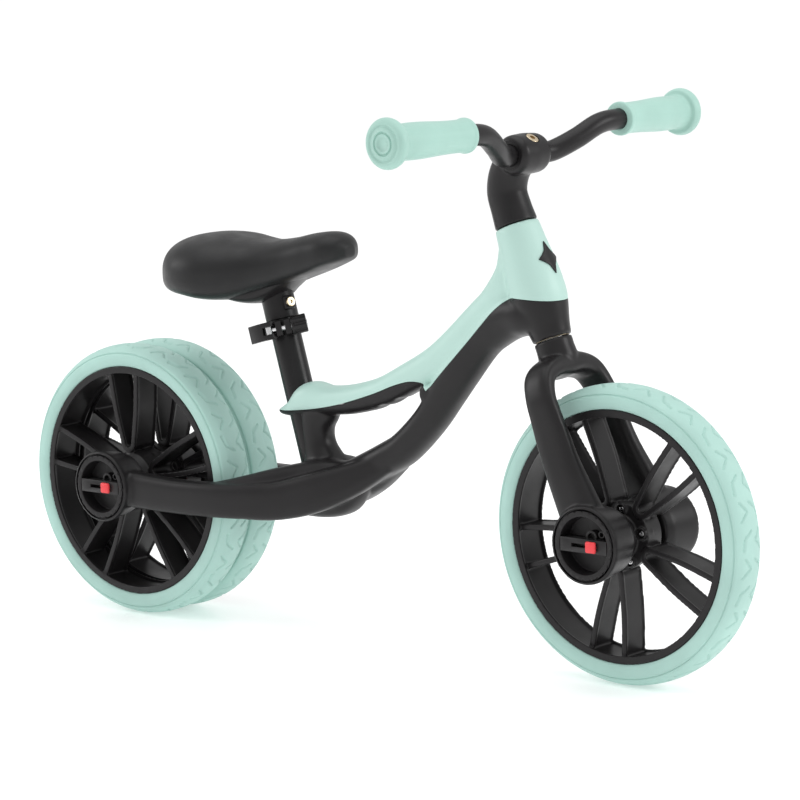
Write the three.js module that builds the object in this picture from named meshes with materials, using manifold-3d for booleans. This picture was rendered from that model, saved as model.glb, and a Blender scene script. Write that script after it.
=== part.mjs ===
// Three-wheeled balance bike: a moulded frame with a carry handle, two wheels side by side at the
// rear, one steered wheel at the front, and a saddle that slides on a clamped post.
// Millimetres, +X forward, +Y to the rider's left, +Z up, origin on the ground under the middle.
import * as THREE from 'three';
import { mergeVertices } from 'three/addons/utils/BufferGeometryUtils.js';
import Module from 'manifold-3d';

const wasm = await Module();
wasm.setup();

// ---------- driving dimensions ----------
const GAP = 0.3; // between pieces that touch
const SLIVER = 0.2; // detail smaller than this is merged away
const WHEEL_R = 120;
const WHEEL_BASE = 514;
const TYRE_HALF = 17.8;
const TYRE_SEAT_R = 102;
const RIM_INNER_R = 95;
const AXLE_R = 6;
const AXLE_INSET = 18; // from a boss's outer face to the end of the axle
const BOSS_R = 31;
const DIAL_R = 27.4;
const FRONT_BOSS = { inner: 20, outer: 57 };
const REAR_BOSS = { inner: 38.4, outer: 71.7 };
const REAR_TRACK = 18.3; // each rear wheel's centre from the middle
const HEAD_TOP = { x: 154, z: 360 };
const HEAD_LEAN = THREE.MathUtils.degToRad(20.7);
const HEAD_LENGTH = 95.6;
const STEERER_R = 10;
const POST_FOOT = { x: -82.5, z: 205 };
const POST_LEAN = THREE.MathUtils.degToRad(15.6);
const SEAT_TUBE_R = 12.7;
const SEAT_POST_R = 11;
const SEAT_TUBE_BORE = SEAT_POST_R + 0.08;
const SEAT_TUBE_TOP = 65;
const SEAT_TUBE_FOOT = -86;
const CLAMP_HEIGHT = 58;
const BAR_R = 8.5;
const GRIP_END = 195;
const GRIP_START = 98;
const GRIP_SWEEP = THREE.MathUtils.degToRad(1.8); // the grips trail back towards their ends

// ---------- finishes ----------
const finish = (color, roughness, metalness = 0) =>
  new THREE.MeshStandardMaterial({ color, roughness, metalness });
const MINT = finish(0xa5dccb, 0.5);
const BLACK = finish(0x1e1d1f, 0.5);
const RUBBER_MINT = finish(0x9adcc8, 0.8);
const SADDLE_BLACK = finish(0x161618, 0.6);
const TUBE_BLACK = finish(0x141416, 0.3, 0.6);
const STEEL = finish(0xb9bcc0, 0.25, 1);
const RED = finish(0xd8202a, 0.45);
const BRONZE = finish(0x6f6a5c, 0.5, 0.6);

// ---------- solids ----------
/** A closed three.js geometry as a solid, turned inside out if its faces point inwards. */
function solid(geometry) {
  const bare = geometry.clone();
  bare.deleteAttribute('normal');
  bare.deleteAttribute('uv');
  const merged = mergeVertices(bare, 1e-4);
  const corners = merged.index.array;
  const faces = [];
  for (let i = 0; i < corners.length; i += 3) {
    const [a, b, c] = [corners[i], corners[i + 1], corners[i + 2]];
    if (a !== b && b !== c && a !== c) faces.push(a, b, c);
  }
  const toManifold = (indices) =>
    new wasm.Manifold(
      new wasm.Mesh({
        numProp: 3,
        vertProperties: new Float32Array(merged.attributes.position.array),
        triVerts: new Uint32Array(indices),
      }),
    );
  const made = toManifold(faces);
  return made.volume() < 0 ? toManifold([...faces].reverse()) : made;
}

/** The bodies joined into one. */
const join = (...bodies) => bodies.flat().reduce((whole, body) => whole.add(body));

/** The first body with all the others cut away. */
const cut = (body, ...tools) => tools.flat().reduce((left, tool) => left.subtract(tool), body);

/** A named mesh of a solid, without the slivers that its cuts left. */
function piece(name, body, material) {
  const { vertProperties, triVerts } = body.simplify(SLIVER).getMesh();
  const geometry = new THREE.BufferGeometry();
  geometry.setAttribute('position', new THREE.BufferAttribute(new Float32Array(vertProperties), 3));
  geometry.setIndex(new THREE.BufferAttribute(new Uint32Array(triVerts), 1));
  geometry.computeVertexNormals();
  const mesh = new THREE.Mesh(geometry, material);
  mesh.name = name;
  return mesh;
}

/** A lathed solid about Z (or Y), from [radius, height] points that close on themselves. */
function turned(points, sides, about = 'z') {
  const profile = points.map(([r, h]) => new THREE.Vector2(r, h));
  if (points[0][0] > 0 || points.at(-1)[0] > 0) profile.push(profile[0].clone());
  const geometry = new THREE.LatheGeometry(profile, sides);
  if (about === 'z') geometry.rotateX(Math.PI / 2);
  return solid(geometry);
}

/** A cylinder along Z (or Y) between two heights. */
function rod(radius, from, to, sides, about = 'z') {
  const geometry = new THREE.CylinderGeometry(radius, radius, to - from, sides);
  geometry.translate(0, (from + to) / 2, 0);
  if (about === 'z') geometry.rotateX(Math.PI / 2);
  return solid(geometry);
}

/** A box by its centre and size. */
function block([x, y, z], [dx, dy, dz]) {
  return solid(new THREE.BoxGeometry(dx, dy, dz).translate(x, y, z));
}

/** A flat outline in X and Z, as thick as the two Y values say. */
function plate(outline, from, to) {
  const geometry = new THREE.ExtrudeGeometry(outline, {
    depth: to - from,
    bevelEnabled: false,
    curveSegments: 3,
  });
  return solid(geometry.rotateX(Math.PI / 2).translate(0, to, 0));
}

/** A body moved by a position and a turn about Y, then about Z. */
function placed(body, [x, y, z], turnY = 0, turnZ = 0) {
  const matrix = new THREE.Matrix4()
    .makeTranslation(x, y, z)
    .multiply(new THREE.Matrix4().makeRotationZ(turnZ))
    .multiply(new THREE.Matrix4().makeRotationY(turnY));
  return body.transform(matrix.toArray());
}

/**
 * A smooth body swept through stations, each with a centre, a half-width along `lateral`, a
 * half-height across it and a squareness (2 is an ellipse, more is boxier).
 */
function swept(stations, { sides = 12, rings = 12, lateral = [0, 1, 0] } = {}) {
  const path = new THREE.CatmullRomCurve3(
    stations.map(({ at }) => new THREE.Vector3(...at)), false, 'catmullrom', 0.5);
  const sizes = new THREE.CatmullRomCurve3(
    stations.map(({ wide, tall, square = 2.4 }) => new THREE.Vector3(wide, tall, square)),
    false, 'catmullrom', 0.5);
  const geometry = new THREE.CylinderGeometry(1, 1, 1, sides, rings);
  const corners = geometry.attributes.position;
  const corner = new THREE.Vector3();
  for (let i = 0; i < corners.count; i += 1) {
    corner.fromBufferAttribute(corners, i);
    const along = Math.min(Math.max(corner.y + 0.5, 0), 1);
    const tangent = path.getTangent(along);
    const side = new THREE.Vector3(...lateral).projectOnPlane(tangent).normalize();
    const over = new THREE.Vector3().crossVectors(side, tangent);
    const { x: wide, y: tall, z: square } = sizes.getPoint(along);
    const rounded = (v) => Math.sign(v) * Math.abs(v) ** (2 / square);
    const point = path.getPoint(along);
    point.addScaledVector(side, wide * rounded(corner.x));
    point.addScaledVector(over, tall * rounded(corner.z));
    corners.setXYZ(i, point.x, point.y, point.z);
  }
  return solid(geometry);
}

/** Stations given as [x, z, half-width, half-height, squareness] in the middle plane. */
const midStations = (rows) =>
  rows.map(([x, z, wide, tall, square]) => ({ at: [x, 0, z], wide, tall, square }));

// ---------- wheels ----------
const WHEEL_FACETS = 32; // a flat of the tyre lies on the ground
const CORNER_GROWTH = 1 / Math.cos(Math.PI / WHEEL_FACETS);
const HUB_OUT = 19.6; // hub end on the side where the spokes are flush
const HUB_IN = -17.6; // hub end on the dished side
const HUB_SIDES = 16;
const SPOKE_FROM = -11.5; // the spokes' edges on the dished and on the flush side
const SPOKE_TO = 14.5;

function tyreBody() {
  const halfProfile = [
    [TYRE_SEAT_R, 15.8], [106, TYRE_HALF], [114.5, 15.6], [WHEEL_R, 6.5],
  ];
  const mirrored = halfProfile.map(([r, w]) => [r, -w]).reverse();
  const profile = [...halfProfile, ...mirrored].map(([r, w]) => [r * CORNER_GROWTH, w]);
  return placed(turned(profile, WHEEL_FACETS, 'y'), [0, 0, 0], Math.PI / WHEEL_FACETS);
}

/** One pair of spokes: a wall that runs in from the rim, round the hub and out again. */
function spokePair() {
  const turnR = 8.4;
  const thick = 4.6;
  const hubReach = 33;
  const rimReach = 97;
  const halfSpread = 18.6;
  const outline = new THREE.Shape();
  outline.moveTo(-halfSpread, rimReach);
  outline.lineTo(-turnR, hubReach);
  outline.absarc(0, hubReach, turnR, Math.PI, 2 * Math.PI, false);
  outline.lineTo(halfSpread, rimReach);
  outline.lineTo(halfSpread - thick, rimReach);
  outline.lineTo(turnR - thick, hubReach);
  outline.absarc(0, hubReach, turnR - thick, 2 * Math.PI, Math.PI, true);
  outline.lineTo(thick - halfSpread, rimReach);
  return plate(outline, SPOKE_FROM, SPOKE_TO);
}

function rimBody(phase) {
  const ring = turned(
    [[RIM_INNER_R, -16.2], [101.2, -16.2], [101.2, 16.2], [RIM_INNER_R, 16.2]],
    WHEEL_FACETS, 'y');
  const hub = turned(
    [[15.8, HUB_IN], [18, -9], [27.5, -8.7], [25, 13], [19, HUB_OUT], [0, HUB_OUT], [0, HUB_IN]],
    HUB_SIDES, 'y');
  const pairs = [0, 1, 2, 3, 4].map((i) => placed(spokePair(), [0, 0, 0], (i * 2 * Math.PI) / 5 - phase));
  const bore = turned(
    [[0, HUB_IN - 1], [11.3, HUB_IN - 1], [11.3, -10], [8, -10], [8, 12], [11.3, 12],
      [11.3, HUB_OUT + 1], [0, HUB_OUT + 1]],
    16, 'y');
  return cut(join(ring, hub, pairs), bore);
}

/** A plain bush pressed into a hub end, running on the axle. */
const bushBody = (from, to) =>
  turned([[AXLE_R + 0.17, from], [11, from], [11, to], [AXLE_R + 0.17, to]], 16, 'y');

function wheel(prefix, phase) {
  const group = new THREE.Group();
  group.add(piece(`${prefix}_tyre`, tyreBody(), RUBBER_MINT));
  group.add(piece(`${prefix}_rim`, rimBody(phase), BLACK));
  group.add(piece(`${prefix}_inner_bush`, bushBody(HUB_IN, -10.3), BRONZE));
  group.add(piece(`${prefix}_outer_bush`, bushBody(12.3, HUB_OUT), BRONZE));
  return group;
}

// ---------- dials and latches in the bosses ----------
const DIAL_DEPTH = 14.5; // boss recess
const DISH_DEPTH = 10.5;
const CROSSBAR = 11;
const LATCH = { x: 8.5, size: 9.5, travel: 8, slot: 3 };

/** A dial facing +Y, its rim at y = 0: a dish with a crossbar that the latch slides along. */
function dialBody() {
  const dish = turned(
    [[0, -DIAL_DEPTH + GAP], [DIAL_R, -DIAL_DEPTH + GAP], [DIAL_R, -0.8], [DIAL_R - 0.8, 0],
      [22.6, 0], [21, -DISH_DEPTH], [0, -DISH_DEPTH]],
    20, 'y');
  const bar = block([0, -DISH_DEPTH / 2 - 0.5, 0], [44, DISH_DEPTH + 0.4, CROSSBAR]);
  const slotFrom = LATCH.x - LATCH.travel - 10.5;
  const slotTo = LATCH.x + 4.2;
  const slot = block([(slotFrom + slotTo) / 2, -2.5, 0], [slotTo - slotFrom, 7, LATCH.slot]);
  return cut(join(dish, bar), slot);
}

/** The red latch: a thumb block on the crossbar with a tongue down in the slot. */
function latchBody() {
  const thumb = block([LATCH.x, 1.6, 0], [LATCH.size, 2.6, LATCH.size - 0.5]);
  const tongue = block([LATCH.x, -2, 0], [7, 5.6, LATCH.slot - 0.5]);
  return join(thumb, tongue);
}

/** A dial and its latch at a boss face, facing +Y (side 1) or -Y (side -1). */
function dialGroup(name, side, faceY, centre) {
  const group = new THREE.Group();
  group.position.set(centre[0], side * faceY, centre[1]);
  const mirror = (body) => (side > 0 ? body : body.mirror([0, 1, 0]));
  group.add(piece(`${name}_dial`, mirror(dialBody()), BLACK));
  group.add(piece(`${name}_latch`, mirror(latchBody()), RED));
  return group;
}

/** The boss that holds an axle end and a dial, along +Y between its two faces. */
function bossBody({ inner, outer }, side) {
  const boss = turned(
    [[0, inner], [24, inner], [27.5, inner + 8], [BOSS_R, outer - 4], [BOSS_R, outer], [0, outer]],
    20, 'y');
  return side > 0 ? boss : boss.mirror([0, 1, 0]);
}

/** What is cut out of a boss: the dial's recess, the axle's bore and a hollow behind. */
function bossHollows({ inner, outer }, side) {
  const recess = rod(DIAL_R + 0.4, outer - DIAL_DEPTH, outer + 5, 20, 'y');
  const bore = rod(AXLE_R + GAP, inner - 5, outer - DIAL_DEPTH - 3, 12, 'y');
  const floor = outer - DIAL_DEPTH - 4;
  const pocket = turned([[11, inner - 5], [19.5, inner - 5], [19.5, floor], [11, floor]], 12, 'y');
  return [recess, bore, pocket].map((tool) => (side > 0 ? tool : tool.mirror([0, 1, 0])));
}

// ---------- frame ----------
const REAR_AXLE = { x: -WHEEL_BASE / 2, z: WHEEL_R };

// Rows of x, z, half-width, half-height and squareness along each limb's middle line.
const BEAM = [
  [184, 284, 15, 12, 2.2], [168, 289, 19, 15, 2.2], [150, 287, 18, 17, 2.3], [115, 264, 16.5, 17, 2.4],
  [93.5, 238, 16, 16.3, 2.4], [78, 217.5, 15.5, 15.2, 2.4], [61, 195.5, 15.5, 13.9, 2.4],
  [36, 172, 16.5, 13.8, 2.4], [17, 160.4, 18, 14, 2.4], [-18, 143, 22, 14, 2.4],
  [-50, 128, 22, 15, 2.3], [-70, 121, 12, 11, 2.1],
];
const HANDLE = [
  [166, 335, 9, 10, 2.1], [152, 318, 15, 13, 2.2], [139, 301, 16.5, 15, 2.3], [118.4, 282, 16.5, 15.5, 2.4],
  [91, 259, 16, 14.6, 2.4], [68.6, 243.6, 15.5, 13.5, 2.4], [41.3, 229.2, 15, 13, 2.4],
  [12.2, 215.3, 15, 12.7, 2.4], [-20.2, 206.6, 15, 12.5, 2.4], [-48, 203.5, 16, 12.3, 2.4],
  [-68, 204, 17.5, 13.6, 2.4], [-83, 195.5, 16.5, 8.5, 2.2], [-97, 191.5, 10.5, 4.5, 2],
  [-106.5, 190.5, 2.5, 1.2, 2],
];
const MAST = [
  [-60, 204, 12, 23, 2.2], [-61.5, 193, 13, 20, 2.2], [-63.5, 182, 13.3, 15.2, 2.3],
  [-63.5, 172, 13.5, 13.4, 2.3], [-61.5, 162, 14, 14, 2.3], [-58, 150, 16.5, 18.5, 2.3],
  [-54, 134, 18.5, 22.5, 2.3], [-51, 118, 13, 16, 2.1],
];
const KEEL = [
  [-95, 112, 12, 7, 2.4], [-74, 113.5, 17, 11, 2.6], [-52, 115.5, 18, 12.5, 2.8],
  [-36, 119.5, 17, 13, 2.8], [-25, 128, 14, 11.5, 2.6], [-16, 138, 10, 8, 2.4],
];
// Heights above the head's foot and radii.
const HEAD = [
  [0, 15.9], [10, 17.5], [22, 20.4], [33, 22.6], [46, 22.8], [60, 21.8], [78, 19.6], [95.6, 17.9],
];
const ARM = [
  // x, y, z, half-width, half-height on the left side
  [20, 8, 157, 8, 9], [-12, 17, 141, 10, 14], [-46, 27, 128, 11, 17], [-80, 35, 119.5, 11.5, 16.5],
  [-112, 44, 117.5, 10.5, 15.5], [-145, 50.5, 116.5, 9.8, 15], [-190, 54, 116.5, 9.6, 15],
  [-250, 57, 119.5, 10, 16],
];
// The sloping shoulder on top of each arm, in the same order.
const SHOULDER = [
  [-152, 49, 121, 5, 8], [-115, 41, 126.5, 8, 11.5], [-88, 29, 132, 10, 13.5], [-68, 20, 136, 11, 14.5],
  [-45, 12, 141, 12, 14], [-20, 5, 145, 10, 9],
];
const HANDLE_CORNER = { x: 66, z: 218.5, r: 7.5, half: 14 }; // where handle and beam part
const HANDLE_GRIP_HOLLOWS = [[36, 201], [18, 194], [-1, 186.5], [-20, 181]];
const SCALLOP_R = 11.5;
const COVER_WALL = 3;
const LINING_R = 15.5;
const BEARING_R = 14;
const BEARING_DEPTH = 9;

/** The rear arm on one side, from the yoke round the tyre to its boss, with its shoulder. */
function armBody(side) {
  const stations = (rows, square) =>
    rows.map(([x, y, z, wide, tall]) => ({ at: [x, side * y, z], wide, tall, square }));
  const arm = swept(stations(ARM, 3.6), { rings: 10 });
  const shoulder = swept(stations(SHOULDER, 2.4), { sides: 10, rings: 8 });
  return join(arm, shoulder);
}

/** A body built upright on the steering axis, heights from the head's top, leant back into place. */
const onHead = (body) => placed(body, [HEAD_TOP.x, 0, HEAD_TOP.z], -HEAD_LEAN);

/** A body built upright on the seat post's axis, leant back into place. */
const onPost = (body) => placed(body, [POST_FOOT.x, 0, POST_FOOT.z], -POST_LEAN);

function headBody(shrink = 0) {
  const points = HEAD.map(([h, r]) => [r - shrink, h - HEAD_LENGTH]);
  return onHead(turned([[0, -HEAD_LENGTH], ...points, [0, 0]], 20));
}

/** The region of the mint shell: everything above its lower border. */
function coverRegion(drop) {
  const along = (...points) => points.map(([x, z]) => new THREE.Vector2(x, z));
  const border = new THREE.Path();
  border.moveTo(260, 302);
  border.lineTo(196, 302.5);
  border.splineThru(along([172, 304], [157, 302.5], [143, 293], [128, 279], [96, 248.5], [67, 221.5]));
  border.splineThru(along([61, 227], [50, 228], [33, 223.5], [8, 214], [-28, 203], [-60, 196.5], [-91, 193]));
  border.lineTo(-125, 190);
  const lower = border.getPoints(3).map(({ x, y }) => new THREE.Vector2(x, y - drop));
  const outline = new THREE.Shape([...lower, new THREE.Vector2(-125, 420), new THREE.Vector2(260, 420)]);
  return plate(outline, -40, 40);
}

/** The head and the carry handle with the limb between them. */
const handleBody = () => join(swept(midStations(HANDLE)), headBody());

/** The black tongue that the mint shell clips over, all inside the handle. */
function tongueBody(grow = 0) {
  const inset = COVER_WALL - grow;
  const rows = HANDLE.slice(2, -3).map(([x, z, wide, tall]) => [x, z, wide - inset, tall - inset, 2]);
  return swept(midStations(rows), { sides: 8, rings: 8 });
}

/** The black lining of the head under the mint shell. */
const liningBody = (grow = 0) => onHead(rod(LINING_R + grow, -HEAD_LENGTH + 5, -1 + grow, 16));

const scallops = () =>
  HANDLE_GRIP_HOLLOWS.map(([x, z]) => rod(SCALLOP_R, -30, 30, 12, 'y').translate([x, 0, z]));

/** The bores in the head for the steerer and its two bushes. */
const headHollows = () => [
  onHead(rod(STEERER_R + 2, -HEAD_LENGTH - 20, 20, 16)),
  onHead(rod(BEARING_R + GAP, -BEARING_DEPTH - GAP, 20, 16)),
  onHead(rod(BEARING_R + GAP, -HEAD_LENGTH - 20, -HEAD_LENGTH + BEARING_DEPTH + GAP, 16)),
];

const atRearAxle = (body) => placed(body, [REAR_AXLE.x, 0, REAR_AXLE.z]);
const BOTH_SIDES = [-1, 1];

function frameBody(beam, tubeHollow) {
  const black = cut(join(handleBody(), beam), coverRegion(GAP));
  const { x, z, r, half } = HANDLE_CORNER;
  const corner = rod(r, -half, half, 12, 'y').translate([x, 0, z]);
  const mast = cut(join(swept(midStations(MAST), { sides: 14, rings: 10 }), corner), coverRegion(GAP));
  const keel = swept(midStations(KEEL), { rings: 7 });
  const arms = BOTH_SIDES.map(armBody);
  const bosses = BOTH_SIDES.map((side) => atRearAxle(bossBody(REAR_BOSS, side)));
  const hollows = BOTH_SIDES.flatMap((side) => bossHollows(REAR_BOSS, side).map(atRearAxle));
  const inner = [tongueBody(), liningBody()];
  const outer = join(black, mast, keel, arms, bosses);
  return cut(join(outer, inner), headHollows(), tubeHollow, hollows, scallops());
}

function frameGroup() {
  const beam = swept(midStations(BEAM), { rings: 14 });
  const tubeHollow = onPost(rod(SEAT_TUBE_R + GAP, SEAT_TUBE_FOOT - GAP, 90, 16));
  const cover = cut(
    join(handleBody(), beam).intersect(coverRegion(0)),
    tongueBody(GAP), liningBody(GAP), headHollows(), tubeHollow);
  const group = new THREE.Group();
  group.add(piece('main_frame', frameBody(beam, tubeHollow), BLACK));
  group.add(piece('top_cover', cover, MINT));
  const axleHalf = REAR_BOSS.outer - AXLE_INSET;
  group.add(piece('rear_axle', atRearAxle(rod(AXLE_R, -axleHalf, axleHalf, 16, 'y')), STEEL));
  const bushBore = STEERER_R + 0.2;
  const bush = [[bushBore, 0], [BEARING_R, 0], [BEARING_R, BEARING_DEPTH], [bushBore, BEARING_DEPTH]];
  group.add(piece('upper_head_bush', onHead(turned(bush, 20).translate([0, 0, -BEARING_DEPTH])), BRONZE));
  group.add(piece('lower_head_bush', onHead(turned(bush, 20).translate([0, 0, -HEAD_LENGTH])), BRONZE));
  group.add(piece('head_badge', badgeBody(), BLACK));
  return group;
}

/** A plain lozenge plate let into the front of the head. */
function badgeBody() {
  const half = 11;
  const outline = new THREE.Shape();
  outline.moveTo(0, -half * 1.25);
  outline.quadraticCurveTo(half * 0.55, -half * 0.5, half, 0);
  outline.quadraticCurveTo(half * 0.55, half * 0.5, 0, half * 1.25);
  outline.quadraticCurveTo(-half * 0.55, half * 0.5, -half, 0);
  outline.quadraticCurveTo(-half * 0.55, -half * 0.5, 0, -half * 1.25);
  const flat = new THREE.ExtrudeGeometry(outline, { depth: 12, bevelEnabled: false, curveSegments: 3 });
  const prism = solid(flat.rotateX(Math.PI / 2).rotateZ(Math.PI / 2).translate(14, 0, -34));
  const skin = cut(headBody(-1.1), headBody(-GAP));
  return onHead(prism).intersect(skin);
}

// ---------- saddle post, clamp and saddle ----------
const CLAMP = { band: 16.4, half: 6, boltOut: 20.5, side: THREE.MathUtils.degToRad(-50) };
const NUT = { r: 8, from: 6.9, to: 20 };
const BARREL = { r: 4, y: -12.8, half: 5.8 };
const CAM_R = 6;

/** The fixed tube, split at its top so that the clamp can close it. */
function seatTubeBody() {
  const tube = turned(
    [[SEAT_TUBE_BORE, SEAT_TUBE_FOOT], [SEAT_TUBE_R, SEAT_TUBE_FOOT], [SEAT_TUBE_R, SEAT_TUBE_TOP],
      [SEAT_TUBE_BORE, SEAT_TUBE_TOP]], 20);
  const slit = placed(block([13, 0, SEAT_TUBE_TOP - 6], [10, 2, 14]), [0, 0, 0], 0, CLAMP.side);
  return cut(tube, slit);
}

/** The split band round the tube, its two ears carrying the bolt. Built with the ears along +X. */
function clampBandBody() {
  const ring = rod(CLAMP.band, -CLAMP.half, CLAMP.half, 20);
  const ears = block([17, 0, 0], [18, 13, 2 * CLAMP.half]);
  const bore = rod(SEAT_TUBE_R + GAP, -20, 20, 20);
  const gap = block([20, 0, 0], [22, 3, 30]);
  const boltHole = rod(2.8, -20, 20, 12, 'y').translate([CLAMP.boltOut, 0, 0]);
  const nutSeat = rod(NUT.r + GAP, NUT.from - GAP, 30, 18, 'y').translate([CLAMP.boltOut, 0, 0]);
  return cut(join(ring, ears), bore, gap, boltHole, nutSeat);
}

/** The bolt across the ears, from the nut to the barrel. */
const clampBoltBody = () =>
  rod(2.4, BARREL.y + 2.4, NUT.to + 0.5, 12, 'y').translate([CLAMP.boltOut, 0, 0]);

/** The thumb nut on the bolt's far end, with flutes round it. */
function clampNutBody() {
  const nut = turned([[2.8, NUT.from], [NUT.r, NUT.from], [NUT.r, NUT.to], [2.8, NUT.to]], 18, 'y');
  const flutes = [0, 1, 2, 3, 4, 5].map((i) => {
    const turn = (i * Math.PI) / 3;
    return rod(2, 9.5, 25, 6, 'y').translate([8.6 * Math.cos(turn), 0, 8.6 * Math.sin(turn)]);
  });
  return cut(nut, flutes).translate([CLAMP.boltOut, 0, 0]);
}

/** The cross barrel on the bolt's near end: the lever turns round it. */
const clampBarrelBody = () =>
  cut(rod(BARREL.r, -BARREL.half, BARREL.half, 14), rod(2.7, -5, 5, 12, 'y'))
    .translate([CLAMP.boltOut, BARREL.y, 0]);

/** The lever: a forked round cam on the barrel and a flat thumb blade that lies along the tube. */
function clampLeverBody() {
  const outline = new THREE.Shape();
  outline.absarc(0, 0, CAM_R, 0, 0.85 * Math.PI);
  outline.quadraticCurveTo(-3.5, -6, -8, -10);
  outline.lineTo(-11, -15);
  outline.lineTo(-7, -17);
  outline.quadraticCurveTo(4.5, -10, CAM_R, 0);
  const blade = solid(new THREE.ExtrudeGeometry(outline, { depth: 13, bevelEnabled: false, curveSegments: 8 })
    .translate(0, 0, -6.5));
  const eye = rod(BARREL.r + 0.15, -20, 20, 14);
  const fork = block([0, 0, 0], [20, 14, 6.4]);
  return cut(blade, eye, fork).translate([CLAMP.boltOut, BARREL.y, 0]);
}

function clampParts(bodies) {
  return bodies.map(([name, body, material]) =>
    piece(name, onPost(placed(body, [0, 0, CLAMP_HEIGHT], 0, CLAMP.side)), material));
}

function clampGroup() {
  const group = new THREE.Group();
  group.add(piece('seat_tube', onPost(seatTubeBody()), TUBE_BLACK));
  group.add(...clampParts([
    ['clamp_band', clampBandBody(), BLACK], ['clamp_bolt', clampBoltBody(), STEEL],
    ['clamp_nut', clampNutBody(), BLACK], ['clamp_barrel', clampBarrelBody(), STEEL],
    ['clamp_lever', clampLeverBody(), BLACK],
  ]));
  return group;
}

const SCREW_TURN = THREE.MathUtils.degToRad(-15);
const COLLAR = { outer: 14.2, from: SEAT_TUBE_TOP + 1.5, to: 98 };
const PAD = [
  // x, half-width, top z, bottom z
  [-213, 7, 316, 302], [-208, 29, 328, 294], [-196, 46, 336, 289], [-176, 57, 340.5, 287],
  [-153, 58, 341, 285], [-130, 49, 338.5, 287], [-106, 36, 337, 294.5], [-80, 28.5, 340, 303],
  [-56, 25.5, 345, 311], [-38, 23.5, 346.5, 318], [-28, 17, 343, 322], [-22, 6, 336, 326],
];
const BASE = [
  // x, half-width, half-height, z of the middle
  [-166, 28, 3, 294], [-150, 33, 6, 293], [-128, 32, 10, 292], [-110, 25, 12, 296], [-96, 20, 9, 302],
  [-78, 15, 5, 309], [-60, 12, 3, 314],
];

const padOutside = () => swept(
  PAD.map(([x, wide, top, foot]) => (
    { at: [x, 0, (top + foot) / 2], wide, tall: (top - foot) / 2, square: 2.6 })),
  { sides: 16, rings: 13 });

const baseOutside = (grow = 0) => swept(
  BASE.map(([x, wide, tall, z]) => ({ at: [x, 0, z], wide: wide + grow, tall: tall + grow, square: 2.4 })),
  { sides: 12, rings: 8 });

function saddleGroup() {
  const { outer, from, to } = COLLAR;
  const inner = SEAT_POST_R + GAP;
  const collarTube = turned([[inner, from], [outer, from], [outer, to], [inner, to]], 20);
  const screwLug = block([outer, 0, from + 12], [5, 9, 12]);
  const postSpace = rod(SEAT_POST_R + GAP, 0, 130, 20);
  const screwHole = rod(2.6, -40, 40, 12).rotate([0, 90, 0]).translate([0, 0, from + 12]);
  const frontHalf = block([30, 0, from + 12], [40, 40, 40]);
  const drilled = cut(join(collarTube, screwLug), postSpace, screwHole.intersect(frontHalf));
  const collar = placed(drilled, [0, 0, 0], 0, SCREW_TURN);
  const screw = placed(
    turned([[0, 11.6], [2.3, 11.6], [2.3, 17], [4, 17], [4, 19.4], [0, 19.4]], 12)
      .rotate([0, 90, 0]).translate([0, 0, from + 12]), [0, 0, 0], 0, SCREW_TURN);
  const post = turned([[9.2, -45], [SEAT_POST_R, -45], [SEAT_POST_R, to - 1], [9.2, to - 1]], 20);
  const socket = onPost(rod(outer + GAP, 0, to + GAP, 20));
  const group = new THREE.Group();
  group.add(piece('seat_post', onPost(post), TUBE_BLACK));
  group.add(piece('saddle_collar', onPost(collar), BLACK));
  group.add(piece('collar_screw', onPost(screw), STEEL));
  group.add(piece('saddle_base', cut(baseOutside(), socket), BLACK));
  group.add(piece('saddle_pad', cut(padOutside(), baseOutside(0.5), socket), SADDLE_BLACK));
  return group;
}

// ---------- steering ----------
const FRONT_AXLE = { x: 11.5, z: -260.9 }; // on the steering axis's own frame
const BLADE = [
  // y, x, z, half-width fore and aft, half-thickness, on the left side
  [0, 0, -120.5, 15, 11], [15, 0, -121, 14.5, 10.5], [29, 0.3, -127, 13.6, 8.8], [35.8, 1, -141, 13.4, 7.4],
  [37, 1.5, -156, 14.3, 7], [37.2, 1.8, -173, 15.5, 7], [38.5, 3.2, -195, 16.3, 7.6],
  [41, 7, -222, 18, 9], [43, FRONT_AXLE.x, -252, 20, 11],
];

function forkBody() {
  const neck = turned(
    [[0, -HEAD_LENGTH - 0.5], [15.6, -HEAD_LENGTH - 0.5], [15.4, -103], [16.2, -112], [14, -124],
      [0, -124]],
    16);
  const blades = BOTH_SIDES.map((side) => swept(
    BLADE.map(([y, x, z, wide, tall]) => ({ at: [x, side * y, z], wide, tall, square: 3 })),
    { sides: 12, rings: 11, lateral: [1, 0, 0] }));
  const atAxle = (body) => body.translate([FRONT_AXLE.x, 0, FRONT_AXLE.z]);
  const bosses = BOTH_SIDES.map((side) => atAxle(bossBody(FRONT_BOSS, side)));
  const hollows = BOTH_SIDES.flatMap((side) => bossHollows(FRONT_BOSS, side).map(atAxle));
  const steererHole = rod(STEERER_R + GAP, -118.3, 0, 20);
  return cut(join(neck, blades, bosses), hollows, steererHole);
}

const CLAMP_EYE = { x: 28.4, z: 50.2 }; // where the stem holds the handlebar
const STEM = [
  // x, z, half-width, half-depth
  [0, 0.5, 17.2, 17.2], [0, 14, 16, 16.4], [1, 28, 15.8, 16], [8, 40, 16.5, 15.5], [18, 47.5, 17, 14.5],
  [28, 50, 16, 13],
];

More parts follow.
